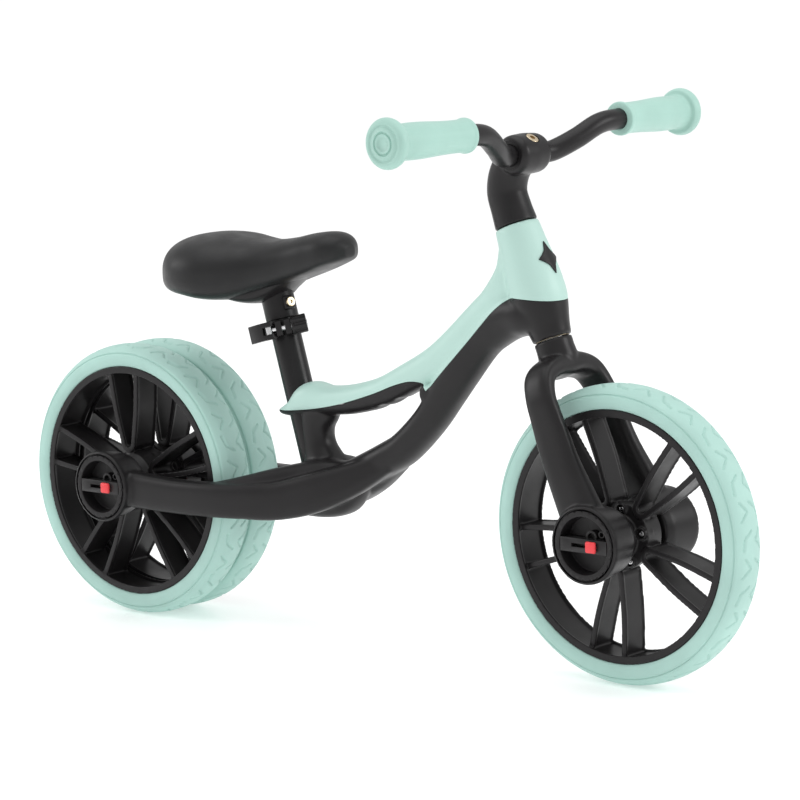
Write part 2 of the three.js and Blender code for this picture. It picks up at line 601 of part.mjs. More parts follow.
function stemBody() {
  const neck = swept(
    STEM.map(([x, z, wide, tall]) => ({ at: [x, 0, z], wide, tall, square: 2.1 })), { sides: 14, rings: 8 });
  const eye = turned(
    [[0, -18.5], [13.5, -18.5], [16, -14], [16.6, 0], [16, 14], [13.5, 18.5], [0, 18.5]], 16, 'y')
    .translate([CLAMP_EYE.x, 0, CLAMP_EYE.z]);
  const barHole = rod(BAR_R + GAP, -30, 30, 16, 'y').translate([CLAMP_EYE.x, 0, CLAMP_EYE.z]);
  const steererHole = rod(STEERER_R + GAP, -5, 26, 20);
  const boltSeat = stemBoltPlace(rod(6, 10.5, 40, 14));
  const boltHole = stemBoltPlace(rod(3.2, 6, 40, 12));
  return cut(join(neck, eye), barHole, steererHole, boltSeat, boltHole);
}

/** A body built on Z moved to the stem's bolt, which leans forward over the bar. */
const stemBoltPlace = (body) => placed(body, [CLAMP_EYE.x, 0, CLAMP_EYE.z], 0.95);

/** The hexagon socket bolt in the stem's head. */
const stemBoltBody = () => stemBoltPlace(cut(
  turned([[0, 10.9], [5.4, 10.9], [5.4, 15.2], [4.6, 16.2], [0, 16.2]], 16), rod(2.4, 13, 20, 6)));

const BAR_HALF = [
  // x, y, z on the left side, in the frame of the whole bike
  [162.8, 0, 417], [162.8, 10, 417], [162.8, 19.5, 417], [166.5, 33, 417.5], [175.5, 52, 426],
  [182, 74, 436.5], [184, 98, 438.8], [182.7, 140, 438.8], [181.3, 184, 438.8],
];

function handlebarBody() {
  const left = BAR_HALF.map(([x, y, z]) => new THREE.Vector3(x, y, z));
  const right = left.slice(1).map(({ x, y, z }) => new THREE.Vector3(x, -y, z)).reverse();
  const path = new THREE.CatmullRomCurve3([...right, ...left]);
  const ring = new THREE.Shape().absarc(0, 0, BAR_R, 0, 2 * Math.PI);
  return solid(new THREE.ExtrudeGeometry(ring, { steps: 36, extrudePath: path, curveSegments: 5 }));
}

/** A grip slipped over the end of the bar, with a collar inside and a flange outside. */
function gripBody(side) {
  const bore = BAR_R + 0.6;
  const length = GRIP_END - GRIP_START;
  const grip = turned(
    [[bore, 0], [11.5, 0], [13, 2.5], [12.2, 5], [13.4, length - 14], [19, length - 9], [19.5, length - 4],
      [14, length], [0, length], [0, length - 7], [bore, length - 7]],
    16, 'y');
  const sided = side > 0 ? grip : grip.mirror([0, 1, 0]);
  return placed(sided, [184, side * GRIP_START, 438.8], 0, side * GRIP_SWEEP);
}

function steeringGroup() {
  const group = new THREE.Group();
  group.position.set(HEAD_TOP.x, 0, HEAD_TOP.z);
  group.rotation.y = -HEAD_LEAN;
  group.add(piece('fork', forkBody(), BLACK));
  const steerer = turned([[8, -118], [STEERER_R, -118], [STEERER_R, 24], [8, 24]], 20);
  group.add(piece('steerer_tube', steerer, STEEL));
  group.add(piece('stem', stemBody(), BLACK));
  group.add(piece('stem_bolt', stemBoltBody(), STEEL));
  return group;
}

function barGroup() {
  const group = new THREE.Group();
  group.add(piece('handlebar', handlebarBody(), BLACK));
  group.add(piece('right_grip', gripBody(-1), RUBBER_MINT));
  group.add(piece('left_grip', gripBody(1), RUBBER_MINT));
  return group;
}

function frontAxleGroup() {
  const group = new THREE.Group();
  const hole = AXLE_R + GAP;
  const washer = turned(
    [[hole, -19.7], [14, -19.7], [14, HUB_IN - GAP], [hole, HUB_IN - GAP]], 16, 'y');
  group.position.set(WHEEL_BASE / 2, 0, WHEEL_R);
  const axleHalf = FRONT_BOSS.outer - AXLE_INSET;
  group.add(piece('front_axle', rod(AXLE_R, -axleHalf, axleHalf, 16, 'y'), STEEL));
  group.add(piece('front_axle_washer', washer, STEEL));
  return group;
}

// ---------- the bike ----------
const SPOKE_PHASE = { front: THREE.MathUtils.degToRad(-43), rear: THREE.MathUtils.degToRad(-3.5) };

function wheelAt(prefix, x, y, phase, turned180 = false) {
  const group = wheel(prefix, phase);
  group.position.set(x, y, WHEEL_R);
  group.rotation.z = turned180 ? Math.PI : 0;
  return group;
}

const bike = new THREE.Group();
bike.add(frameGroup(), clampGroup(), saddleGroup(), steeringGroup(), barGroup(), frontAxleGroup());
bike.add(wheelAt('front', WHEEL_BASE / 2, 0, SPOKE_PHASE.front));
bike.add(wheelAt('right_rear', REAR_AXLE.x, -REAR_TRACK, SPOKE_PHASE.rear, true));
bike.add(wheelAt('left_rear', REAR_AXLE.x, REAR_TRACK, SPOKE_PHASE.rear));
BOTH_SIDES.forEach((side) => {
  const hand = side > 0 ? 'left' : 'right';
  bike.add(dialGroup(`${hand}_front`, side, FRONT_BOSS.outer, [WHEEL_BASE / 2, WHEEL_R]));
  bike.add(dialGroup(`${hand}_rear`, side, REAR_BOSS.outer, [REAR_AXLE.x, REAR_AXLE.z]));
});

export default bike;
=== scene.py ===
"""Looks of a child's balance bike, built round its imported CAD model.

Same frame as the CAD: +X forward, +Y to the rider's left, +Z up. Shapes are worked out in
millimetres and stored in metres.
"""
import math

import bpy
import numpy as np
from mathutils import Matrix, Vector


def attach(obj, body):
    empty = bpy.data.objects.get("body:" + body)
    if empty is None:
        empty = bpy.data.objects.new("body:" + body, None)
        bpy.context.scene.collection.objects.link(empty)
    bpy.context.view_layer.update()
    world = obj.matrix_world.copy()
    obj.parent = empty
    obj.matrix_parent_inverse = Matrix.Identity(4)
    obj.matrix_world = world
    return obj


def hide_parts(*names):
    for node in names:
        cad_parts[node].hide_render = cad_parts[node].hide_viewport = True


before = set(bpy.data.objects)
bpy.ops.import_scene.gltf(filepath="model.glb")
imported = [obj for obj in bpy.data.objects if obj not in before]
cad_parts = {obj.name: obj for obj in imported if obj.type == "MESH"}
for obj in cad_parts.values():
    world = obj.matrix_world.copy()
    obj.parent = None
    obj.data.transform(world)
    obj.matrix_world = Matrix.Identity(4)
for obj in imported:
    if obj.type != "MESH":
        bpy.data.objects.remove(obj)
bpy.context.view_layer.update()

MM = 0.001
SIDES = (-1, 1)
HAND = {-1: "right", 1: "left"}

# ---------- driving dimensions, as in the CAD ----------
WHEEL_R = 120
HALF_BASE = 257  # half of the distance between the axles
REAR_TRACK = 18.3
FRONT_BOSS_FACE = 57
REAR_BOSS_FACE = 71.7
BOSS_R = 31
DIAL_R = 27.4
DIAL_RECESS = 14.5
HEAD_LENGTH = 95.6
SEAT_TUBE_R = 12.7
SEAT_POST_R = 11
SEAT_TUBE_TOP = 65
POST_CLEARANCE = 0.08
BAR_R = 8.5
GRIP_START = 98
GRIP_LENGTH = 97
BAR_EYE = (28.4, 50.2)  # x and z of the handlebar's axis on the steering axis's own frame
FORK_AXLE = (11.5, -260.9)
CLAMP_BOLT_OUT = 20.5
BARREL_Y = -12.8
REAR_BOSS_INNER = 38.4
FRONT_BOSS_INNER = 20
STEERER_CLEARANCE_R = 10.3
HEAD_BORE_R = 12
HEAD_BUSH_R = 14.3
HEAD_BUSH_LENGTH = 9.3
FIT_GAP = 0.3  # between touching pieces

ON_HEAD = Matrix.Translation((154, 0, 360)) @ Matrix.Rotation(math.radians(-20.7), 4, "Y")
ON_POST = Matrix.Translation((-82.5, 0, 205)) @ Matrix.Rotation(math.radians(-15.6), 4, "Y")
ON_CLAMP = ON_POST @ Matrix.Translation((0, 0, 58)) @ Matrix.Rotation(math.radians(-50), 4, "Z")
AT_REAR_AXLE = Matrix.Translation((-HALF_BASE, 0, WHEEL_R))

# Rows of x, z, half-width, half-height and squareness along each limb's middle line.
BEAM = [
    (186, 283, 17, 12, 2.2), (169, 289, 21.5, 17, 2.2), (150, 287, 20, 18.5, 2.2), (131, 277, 18, 18, 2.3),
    (115, 264, 16.5, 17, 2.4),
    (93.5, 238, 16, 16.3, 2.4), (78, 217.5, 15.5, 15.2, 2.4), (61, 195.5, 15.5, 13.9, 2.4),
    (36, 172, 16.5, 13.8, 2.4), (17, 160.4, 18, 14, 2.4), (-18, 143, 22, 14, 2.4),
    (-50, 128, 22, 15, 2.3), (-70, 121, 12, 11, 2.1),
]
HANDLE = [
    (166, 335, 9, 10, 2.1), (152, 318, 15, 13, 2.2), (139, 301, 16.5, 15, 2.3), (118.4, 282, 16.5, 15.5, 2.4),
    (91, 259, 16, 14.6, 2.4), (68.6, 243.6, 15.5, 13.5, 2.4), (41.3, 229.2, 15, 13, 2.4),
    (12.2, 215.3, 15, 12.7, 2.4), (-20.2, 206.6, 15, 12.5, 2.4), (-48, 203.5, 16, 12.3, 2.4),
    (-68, 204, 17.5, 13.6, 2.4), (-83, 195.5, 16.5, 8.5, 2.2), (-97, 191.5, 10.5, 4.5, 2),
    (-106.5, 190.5, 2.5, 1.2, 2),
]
MAST = [
    (-60, 204, 12, 23, 2.2), (-61.5, 193, 13, 20, 2.2), (-63.5, 182, 13.3, 15.2, 2.3),
    (-63.5, 172, 13.5, 13.4, 2.3), (-61.5, 162, 14, 14, 2.3), (-58, 150, 16.5, 18.5, 2.3),
    (-54, 134, 18.5, 22.5, 2.3), (-51, 118, 13, 16, 2.1),
]
KEEL = [
    (-95, 112, 12, 7, 2.4), (-74, 113.5, 17, 11, 2.6), (-52, 115.5, 18, 12.5, 2.8),
    (-36, 119.5, 17, 13, 2.8), (-25, 128, 14, 11.5, 2.6), (-16, 138, 10, 8, 2.4),
]
# The web that rounds the corner between the head and the handle.
HEAD_WEB = [
    (152, 352, 12, 9, 2.2), (150.8, 340, 14.5, 10, 2.2), (148.2, 324.5, 16, 10, 2.2),
    (139.5, 310, 16, 10.5, 2.2), (127, 296, 15, 10, 2.2),
]
# Heights above the head's foot and radii.
HEAD = [(0, 15.9), (10, 17.5), (22, 20.4), (33, 22.6), (46, 22.8), (60, 21.8), (78, 19.6), (95.6, 17.9)]
# Rows of x, y, z, half-width and half-height of the left rear arm.
ARM = [
    (20, 8, 157, 8, 9), (-12, 17, 141, 10, 14), (-46, 27, 128, 11, 17), (-80, 35, 119.5, 11.5, 16.5),
    (-112, 44, 117.5, 10.5, 15.5), (-145, 50.5, 116.5, 9.8, 15), (-190, 54, 116.5, 9.6, 15),
    (-250, 57, 119.5, 10, 16),
]
# The sloping shoulder on top of the left arm, in the same order.
SHOULDER = [
    (-152, 49, 121, 5, 8), (-115, 41, 126.5, 8, 11.5), (-88, 29, 132, 10, 13.5),
    (-68, 20, 136, 11, 14.5), (-45, 12, 141, 12, 14), (-20, 5, 145, 10, 9),
]
HANDLE_CORNER = (66, 218.5)  # x and z where handle and beam part
HANDLE_CORNER_R = 7.5
FINGER_HOLLOWS = [(36, 201), (18, 194), (-1, 186.5), (-20, 181)]
FINGER_R = 11.5
# Rows of y, x, z, half-width fore and aft and half-thickness of the left fork blade.
BLADE = [
    (0, 0, -118.5, 15, 9.5), (16, 0, -118.8, 14.5, 9), (31, 0.3, -125, 13.6, 7.8), (38.5, 1, -140, 13.4, 6.8),
    (39.8, 1.5, -156, 14.3, 6.6), (40, 1.8, -173, 15.5, 6.8), (41, 3.2, -195, 16.3, 7.6),
    (42.5, 7, -222, 18, 9), (43.5, 11.5, -252, 20, 11),
]
# Rows of x, z, half-width and half-depth of the stem.
STEM = [
    (0, 0.5, 17.2, 17.2), (0, 14, 16, 16.4), (1, 28, 15.8, 16), (8, 40, 16.5, 15.5), (18, 47.5, 17, 14.5),
    (28, 50, 16, 13),
]
# Points of the left half of the handlebar, in the frame of the whole bike.
BAR_HALF = [
    (162.8, 0, 417), (162.8, 10, 417), (162.8, 19.5, 417), (166.5, 33, 417.5), (175.5, 52, 426),
    (182, 74, 436.5), (184, 98, 438.8), (182.7, 140, 438.8), (181.3, 184, 438.8),
]
# Rows of x, half-width, top z and bottom z of the saddle.
PAD = [
    (-213, 7, 316, 302), (-208, 29, 328, 294), (-196, 46, 336, 289), (-176, 57, 340.5, 287),
    (-153, 58, 341, 285), (-130, 49, 338.5, 287), (-106, 36, 337, 294.5), (-80, 28.5, 340, 303),
    (-56, 25.5, 345, 311), (-38, 23.5, 346.5, 318), (-28, 17, 343, 322), (-22, 6, 336, 326),
]
# Rows of x, half-width, half-height and middle z of the shell under the saddle.
BASE = [
    (-166, 28, 3, 294), (-150, 33, 6, 293), (-128, 32, 10, 292), (-110, 25, 12, 296), (-96, 20, 9, 302),
    (-78, 15, 5, 309), (-60, 12, 3, 314),
]


# ---------- meshes: (points in millimetres, faces) ----------
def spline(rows, count):
    """A smooth curve through the rows, at evenly spaced steps between them."""
    rows = np.array(rows, float)
    padded = np.vstack([2 * rows[0] - rows[1], rows, 2 * rows[-1] - rows[-2]])
    t = np.linspace(0, len(rows) - 1, count)
    i = np.minimum(t.astype(int), len(rows) - 2)
    f = (t - i)[:, None]
    before, start, end, after = (padded[i + k] for k in range(4))
    return (
        (2 * f**3 - 3 * f**2 + 1) * start
        + (f**3 - 2 * f**2 + f) * (end - before) / 2
        + (3 * f**2 - 2 * f**3) * end
        + (f**3 - f**2) * (after - start) / 2
    )


def outward(points, faces):
    """The mesh with its faces turned outwards."""
    points = np.array(points, float)
    volume = 0.0
    for face in faces:
        for k in range(1, len(face) - 1):
            volume += np.dot(points[face[0]], np.cross(points[face[k]], points[face[k + 1]]))
    return points, faces if volume > 0 else [face[::-1] for face in faces]


def skin(rings):
    """A closed body through equally long rings of points, with a flat cap at each end."""
    rings = np.array(rings, float)
    count, sides = rings.shape[:2]
    faces = []
    for r in range(count - 1):
        for s in range(sides):
            n = (s + 1) % sides
            faces.append([r * sides + s, r * sides + n, (r + 1) * sides + n, (r + 1) * sides + s])
    faces.append(list(range(sides))[::-1])
    faces.append([(count - 1) * sides + s for s in range(sides)])
    return outward(rings.reshape(-1, 3), faces)


def loft(rows, sides=40, rings=90, lateral=(0, 1, 0)):
    """A body swept through rows of x, y, z, half-width, half-height and squareness."""
    rows = spline(rows, rings)
    path = rows[:, :3]
    tangents = np.gradient(path, axis=0)
    angles = np.linspace(0, 2 * math.pi, sides, endpoint=False)
    out = []
    for point, tangent, (wide, tall, square) in zip(path, tangents, rows[:, 3:]):
        tangent = tangent / np.linalg.norm(tangent)
        side = np.array(lateral, float) - np.dot(lateral, tangent) * tangent
        side /= np.linalg.norm(side)
        over = np.cross(side, tangent)
        across = np.sign(np.cos(angles)) * np.abs(np.cos(angles)) ** (2 / square)
        up = np.sign(np.sin(angles)) * np.abs(np.sin(angles)) ** (2 / square)
        out.append(point + np.outer(across * wide, side) + np.outer(up * tall, over))
    return skin(out)


def mid_loft(rows, **options):
    """A loft in the bike's middle plane, from rows of x, z, half-width, half-height and squareness."""
    return loft([(x, 0, z, wide, tall, square) for x, z, wide, tall, square in rows], **options)


def filleted(points, radius, steps=4):
    """A closed or open outline with its corners rounded; an outline that starts on the axis stays open."""
    points = [np.array(p, float) for p in points]
    is_open = points[0][0] == 0 and points[-1][0] == 0
    out = []
    for i, corner in enumerate(points):
        if is_open and i in (0, len(points) - 1):
            out.append(corner)
            continue
        to_last = points[i - 1] - corner
        to_next = points[(i + 1) % len(points)] - corner
        reach = min(radius, 0.45 * np.linalg.norm(to_last), 0.45 * np.linalg.norm(to_next))
        start = corner + to_last / np.linalg.norm(to_last) * reach
        end = corner + to_next / np.linalg.norm(to_next) * reach
        for k in range(steps + 1):
            t = k / steps
            out.append((1 - t) ** 2 * start + 2 * t * (1 - t) * corner + t**2 * end)
    return out


def lathe(points, sides=72, about="y", fillet=0.0):
    """A turned body from (radius, height) points about Y or Z: on the axis at both ends, or closed."""
    points = filleted(points, fillet) if fillet else [np.array(p, float) for p in points]
    on_axis = points[0][0] == 0 and points[-1][0] == 0
    angles = np.linspace(0, 2 * math.pi, sides, endpoint=False)
    body = points[1:-1] if on_axis else points
    rings = [[(r * math.cos(a), r * math.sin(a), h) for a in angles] for r, h in body]
    faces = []
    count = len(rings)
    for r in range(count - 1 if on_axis else count):
        for s in range(sides):
            n = (s + 1) % sides
            m = (r + 1) % count
            faces.append([r * sides + s, r * sides + n, m * sides + n, m * sides + s])
    verts = np.array(rings).reshape(-1, 3)
    if on_axis:
        verts = np.vstack([verts, [[0, 0, points[0][1]], [0, 0, points[-1][1]]]])
        first, last = count * sides, count * sides + 1
        for s in range(sides):
            n = (s + 1) % sides
            faces.append([first, n, s])
            faces.append([last, (count - 1) * sides + s, (count - 1) * sides + n])
    if about == "y":
        verts = verts[:, [1, 2, 0]]
    return outward(verts, faces)


def rod(radius, start, end, sides=48, about="y", fillet=0.0):
    """A cylinder along Y or Z between two heights."""
    return lathe([(0, start), (radius, start), (radius, end), (0, end)], sides, about, fillet)


def prism(outline, start, end):
    """A flat outline in X and Z, as thick as the two Y values say."""
    return skin([[(x, y, z) for x, z in outline] for y in (start, end)])


def slab(centre, size):
    """A box by its centre and size."""
    (x, y, z), (dx, dy, dz) = centre, size
    corners = [(x + i * dx / 2, z + k * dz / 2) for i, k in ((-1, -1), (1, -1), (1, 1), (-1, 1))]
    return prism(corners, y - dy / 2, y + dy / 2)


def moved(mesh, matrix):
    """The mesh under a matrix."""
    points, faces = mesh
    matrix = np.array(matrix)
    return outward(points @ matrix[:3, :3].T + matrix[:3, 3], faces)


def shifted(mesh, x=0, y=0, z=0):
    """The mesh moved along the axes."""
    return moved(mesh, Matrix.Translation((x, y, z)))


def mirrored(mesh, side):
    """The mesh as it is for the left side, or mirrored in Y for the right."""
    return mesh if side > 0 else moved(mesh, Matrix.Scale(-1, 4, (0, 1, 0)))


def arc(centre, radius, start, end, steps):
    """Points on an arc, angles in degrees."""
    angles = np.radians(np.linspace(start, end, steps))
    return [(centre[0] + radius * math.cos(a), centre[1] + radius * math.sin(a)) for a in angles]


# ---------- objects ----------
def read(obj):
    """The mesh of an object in millimetres; the object itself goes."""
    mesh = (np.array([v.co for v in obj.data.vertices]) / MM, [list(p.vertices) for p in obj.data.polygons])
    bpy.data.objects.remove(obj)
    return mesh


def built(name, *meshes):
    """One object from meshes in millimetres."""
    verts, faces = [], []
    for points, polygons in meshes:
        offset = len(verts)
        verts.extend((np.array(points) * MM).tolist())
        faces.extend([[offset + i for i in polygon] for polygon in polygons])
    data = bpy.data.meshes.new(name)
    data.from_pydata(verts, [], faces)
    obj = bpy.data.objects.new(name, data)
    bpy.context.scene.collection.objects.link(obj)
    return obj


def settled(obj):
    """The object with its modifiers applied."""
    graph = bpy.context.evaluated_depsgraph_get()
    data = bpy.data.meshes.new_from_object(obj.evaluated_get(graph))
    obj.modifiers.clear()
    obj.data = data
    return obj


def smoothed(obj, passes, factor=0.5):
    """The surface relaxed a little, which rounds its corners."""
    modifier = obj.modifiers.new("smooth", "SMOOTH")
    modifier.factor = factor
    modifier.iterations = passes
    return settled(obj)


def fused(name, meshes, voxel, passes):
    """Meshes grown together as one moulding, with rounded corners and filleted joints."""
    obj = built(name, *meshes)
    modifier = obj.modifiers.new("remesh", "REMESH")
    modifier.mode = "VOXEL"
    modifier.voxel_size = voxel * MM
    settled(obj)
    return smoothed(obj, passes)


def combined(obj, operation, *meshes):
    """The object cut by, joined to or kept inside each mesh in turn."""
    tools = [built("tool", mesh) for mesh in meshes]
    for tool in tools:
        modifier = obj.modifiers.new("boolean", "BOOLEAN")
        modifier.operation = operation
        modifier.solver = "MANIFOLD"
        modifier.object = tool
    settled(obj)
    for tool in tools:
        bpy.data.objects.remove(tool)
    return obj


def cut(obj, *meshes):
    """The object with each mesh taken away."""
    return combined(obj, "DIFFERENCE", *meshes)


def bevelled(obj, width, segments=3, angle=35):
    """Sharp edges rounded off."""
    modifier = obj.modifiers.new("bevel", "BEVEL")
    modifier.width = width * MM
    modifier.segments = segments
    modifier.limit_method = "ANGLE"
    modifier.angle_limit = math.radians(angle)
    modifier.use_clamp_overlap = True
    return settled(obj)


def copied(obj, name):
    """A new object that shares the mesh."""
    twin = bpy.data.objects.new(name, obj.data)
    bpy.context.scene.collection.objects.link(twin)
    return twin


def shown(obj, body, slot, *nodes, sharp=40):
    """Gives the finished piece its material and body, and hides the CAD nodes that it stands for."""
    obj.data.materials.clear()
    obj.data.materials.append(MATERIALS[slot])
    obj.data.shade_smooth()
    if sharp:
        obj.data.set_sharp_from_angle(angle=math.radians(sharp))
    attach(obj, body)
    if nodes:
        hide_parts(*nodes)
    return obj


# ---------- materials ----------
class Nodes:
    """A short way to add shader nodes that read the object's own coordinates."""

    def __init__(self, name):
        self.material = bpy.data.materials.new(name)
        self.material.use_nodes = True
        self.tree = self.material.node_tree
        self.shader = self.tree.nodes["Principled BSDF"]
        self.place = self.tree.nodes.new("ShaderNodeTexCoord").outputs["Object"]

    def link(self, output, node, socket):
        """Joins an output to a socket of a node."""
        self.tree.links.new(output, node.inputs[socket])

    def noise(self, scale, detail=3.0, stretch=None):
        """Cloudy noise from 0 to 1, drawn out along an axis where stretch says so."""
        node = self.tree.nodes.new("ShaderNodeTexNoise")
        node.inputs["Scale"].default_value = scale
        node.inputs["Detail"].default_value = detail
        place = self.place
        if stretch:
            mapping = self.tree.nodes.new("ShaderNodeMapping")
            mapping.inputs["Scale"].default_value = stretch
            self.link(place, mapping, "Vector")
            place = mapping.outputs["Vector"]
        self.link(place, node, "Vector")
        return node.outputs["Fac"]

    def cells(self, scale):
        """The distance to the nearest of many scattered pores."""
        node = self.tree.nodes.new("ShaderNodeTexVoronoi")
        node.inputs["Scale"].default_value = scale
        self.link(self.place, node, "Vector")
        return node.outputs["Distance"]

    def ranged(self, value, low, high, start=0.3, end=0.7):
        """The value carried from start..end over to low..high."""
        node = self.tree.nodes.new("ShaderNodeMapRange")
        node.inputs["From Min"].default_value = start
        node.inputs["From Max"].default_value = end
        node.inputs["To Min"].default_value = low
        node.inputs["To Max"].default_value = high
        self.link(value, node, "Value")
        return node.outputs["Result"]

    def tinted(self, value, first, second):
        """A colour between two, as the value goes from 0 to 1."""
        node = self.tree.nodes.new("ShaderNodeMix")
        node.data_type = "RGBA"
        node.inputs["A"].default_value = (*first, 1)
        node.inputs["B"].default_value = (*second, 1)
        self.link(value, node, "Factor")
        return node.outputs["Result"]

    def edges(self, amount):
        """How much lighter the colour is painted on the sharp outer edges: up to the amount, broken up by
        noise.
        """
        sharp = self.tree.nodes.new("ShaderNodeNewGeometry").outputs["Pointiness"]
        broken = self.tree.nodes.new("ShaderNodeMath")
        broken.operation = "MULTIPLY"
        self.link(self.ranged(sharp, 0, amount, 0.53, 0.62), broken, 0)
        self.link(self.ranged(self.noise(90, 4), 0, 1, 0.35, 0.65), broken, 1)
        return broken.outputs["Value"]

    def tinted_between(self, value, first_link, second):
        """From a linked colour towards a set one, as the value goes from 0 to 1."""
        node = self.tree.nodes.new("ShaderNodeMix")
        node.data_type = "RGBA"
        node.inputs["B"].default_value = (*second, 1)
        self.link(first_link, node, "A")
        self.link(value, node, "Factor")
        return node.outputs["Result"]

    def bumped(self, height, strength, distance, below=None):
        """A bumped normal, on top of another one if it is given."""
        node = self.tree.nodes.new("ShaderNodeBump")
        node.inputs["Strength"].default_value = strength
        node.inputs["Distance"].default_value = distance
        self.link(height, node, "Height")
        if below is not None:
            self.link(below, node, "Normal")
        return node.outputs["Normal"]


def moulding(name, colour, roughness, mottle=0.1, grain=1600, strength=0.12, specular=0.5):
    """A plastic or rubber moulding: a fine spark-eroded grain, faint flow marks and uneven gloss."""
    n = Nodes(name)
    darker = [c * (1 - mottle) for c in colour]
    lighter = [min(1, c * (1 + mottle)) for c in colour]
    flow = n.ranged(n.noise(14, 4), 0, 1)
    # The colour is painted lighter on the sharp outer edges, found by their pointiness.
    sharp_edge_tint = [min(1, c * 1.3 + 0.02) for c in colour]
    n.link(n.tinted_between(n.edges(0.6), n.tinted(flow, darker, lighter), sharp_edge_tint), n.shader, "Base Color")
    gloss = n.ranged(n.noise(60, 5), roughness - 0.05, roughness + 0.07)
    n.link(gloss, n.shader, "Roughness")
    waves = n.bumped(n.noise(45, 2), 0.05, 0.0008)
    n.link(n.bumped(n.noise(grain, 2), strength, 0.0002, waves), n.shader, "Normal")
    n.shader.inputs["Specular IOR Level"].default_value = specular
    return n.material


def foam(name, colour, roughness):
    """Closed-cell foam or soft rubber: small pores and a dusty, slightly uneven colour."""
    n = Nodes(name)
    darker = [c * 0.93 for c in colour]
    lighter = [min(1, c * 1.04) for c in colour]
    n.link(n.tinted(n.ranged(n.noise(25, 5), 0, 1), darker, lighter), n.shader, "Base Color")
    n.link(n.ranged(n.noise(130, 4), roughness - 0.06, roughness + 0.08), n.shader, "Roughness")
    soft = n.bumped(n.noise(90, 3), 0.08, 0.0006)
    n.link(n.bumped(n.cells(1100), 0.12, 0.0002, soft), n.shader, "Normal")
    n.shader.inputs["Sheen Weight"].default_value = 0.08
    n.shader.inputs["Sheen Roughness"].default_value = 0.5
    return n.material


def vinyl(name, colour, roughness):
    """The saddle's black skin: a fine leather-like grain over a satin surface."""
    n = Nodes(name)
    darker = [c * 0.85 for c in colour]
    lighter = [c * 1.25 for c in colour]
    n.link(n.tinted(n.ranged(n.noise(20, 4), 0, 1), darker, lighter), n.shader, "Base Color")
    n.link(n.ranged(n.noise(70, 4), roughness - 0.05, roughness + 0.08), n.shader, "Roughness")
    creases = n.bumped(n.noise(240, 4), 0.1, 0.0004)
    n.link(n.bumped(n.cells(1300), 0.16, 0.00025, creases), n.shader, "Normal")
    n.shader.inputs["Specular IOR Level"].default_value = 0.3
    return n.material


def metal(name, colour, roughness, brush=(1, 1, 1), coat=0.0):
    """Plated or painted metal with fine drawing marks and faint smudges."""
    n = Nodes(name)
    darker = [c * 0.86 for c in colour]
    n.link(n.tinted(n.ranged(n.noise(40, 4), 0, 1), darker, colour), n.shader, "Base Color")
    n.link(n.ranged(n.noise(160, 5), roughness - 0.05, roughness + 0.1), n.shader, "Roughness")
    n.link(n.bumped(n.noise(900, 2, brush), 0.08, 0.0001), n.shader, "Normal")
    n.shader.inputs["Metallic"].default_value = 1.0
    n.shader.inputs["Coat Weight"].default_value = coat
    return n.material


def paint(name, colour, roughness):
    """Powder coat: a fine orange peel under an even gloss."""
    n = Nodes(name)
    lighter = [c * 1.35 for c in colour]
    n.link(n.tinted(n.ranged(n.noise(30, 4), 0, 1), colour, lighter), n.shader, "Base Color")
    n.link(n.ranged(n.noise(120, 4), roughness - 0.04, roughness + 0.06), n.shader, "Roughness")
    n.link(n.bumped(n.noise(500, 2), 0.12, 0.0002), n.shader, "Normal")
    n.shader.inputs["Specular IOR Level"].default_value = 0.22
    n.shader.inputs["Coat Weight"].default_value = 0.08
    n.shader.inputs["Coat Roughness"].default_value = 0.2
    return n.material


MATERIALS = {
    "black_plastic": moulding("black_moulding", (0.0125, 0.0115, 0.0122), 0.36, specular=0.26),
    "mint_plastic": moulding(
        "mint_moulding", (0.46, 0.66, 0.60), 0.42, mottle=0.02, strength=0.06, specular=0.4),
    "mint_tyre": foam("mint_foam", (0.40, 0.62, 0.56), 0.62),
    "mint_rubber": foam("mint_grip_rubber", (0.36, 0.58, 0.51), 0.5),
    "saddle_skin": vinyl("saddle_vinyl", (0.011, 0.011, 0.0115), 0.40),
    "painted_tube": paint("tube_powder_coat", (0.008, 0.0076, 0.008), 0.3),
    "steel": metal("zinc_plate", (0.74, 0.74, 0.75), 0.24, brush=(1, 1, 12)),
    "bush": metal("bronze_bush", (0.42, 0.36, 0.26), 0.45),
    "red_plastic": moulding("red_moulding", (0.78, 0.045, 0.055), 0.38, mottle=0.05, strength=0.05),
}
BRASS_SCREW = metal("yellow_passivated_screw", (0.72, 0.60, 0.42), 0.25)


# ---------- frame and cover ----------
def border(drop):
    """The lower border of the mint cover as points of x and z, lowered by drop."""
    front_points = [(196, 302.5), (172, 304), (157, 302.5), (143, 293), (128, 279), (96, 248.5), (67, 221.5)]
    rear_points = [
        (67, 221.5), (61, 227), (50, 228), (33, 223.5), (8, 214), (-28, 203), (-60, 196.5), (-91, 193),
    ]
    front = spline(front_points, 50)
    rear = spline(rear_points, 60)
    line = [(260, 302), *map(tuple, front), *map(tuple, rear[1:]), (-125, 190)]
    return [(x, z - drop) for x, z in line]


def cover_region(drop):
    """Everything above the cover's lower border."""
    return prism([*border(drop), (-125, 420), (260, 420)], -45, 45)


def boss(inner, outer, side):
    """The boss at an axle end with a rounded lip, its hollow cut later."""
    profile = [(0, inner), (24, inner), (27.5, inner + 8), (BOSS_R, outer - 4), (BOSS_R, outer), (0, outer)]
    return mirrored(lathe(profile, 96), side)


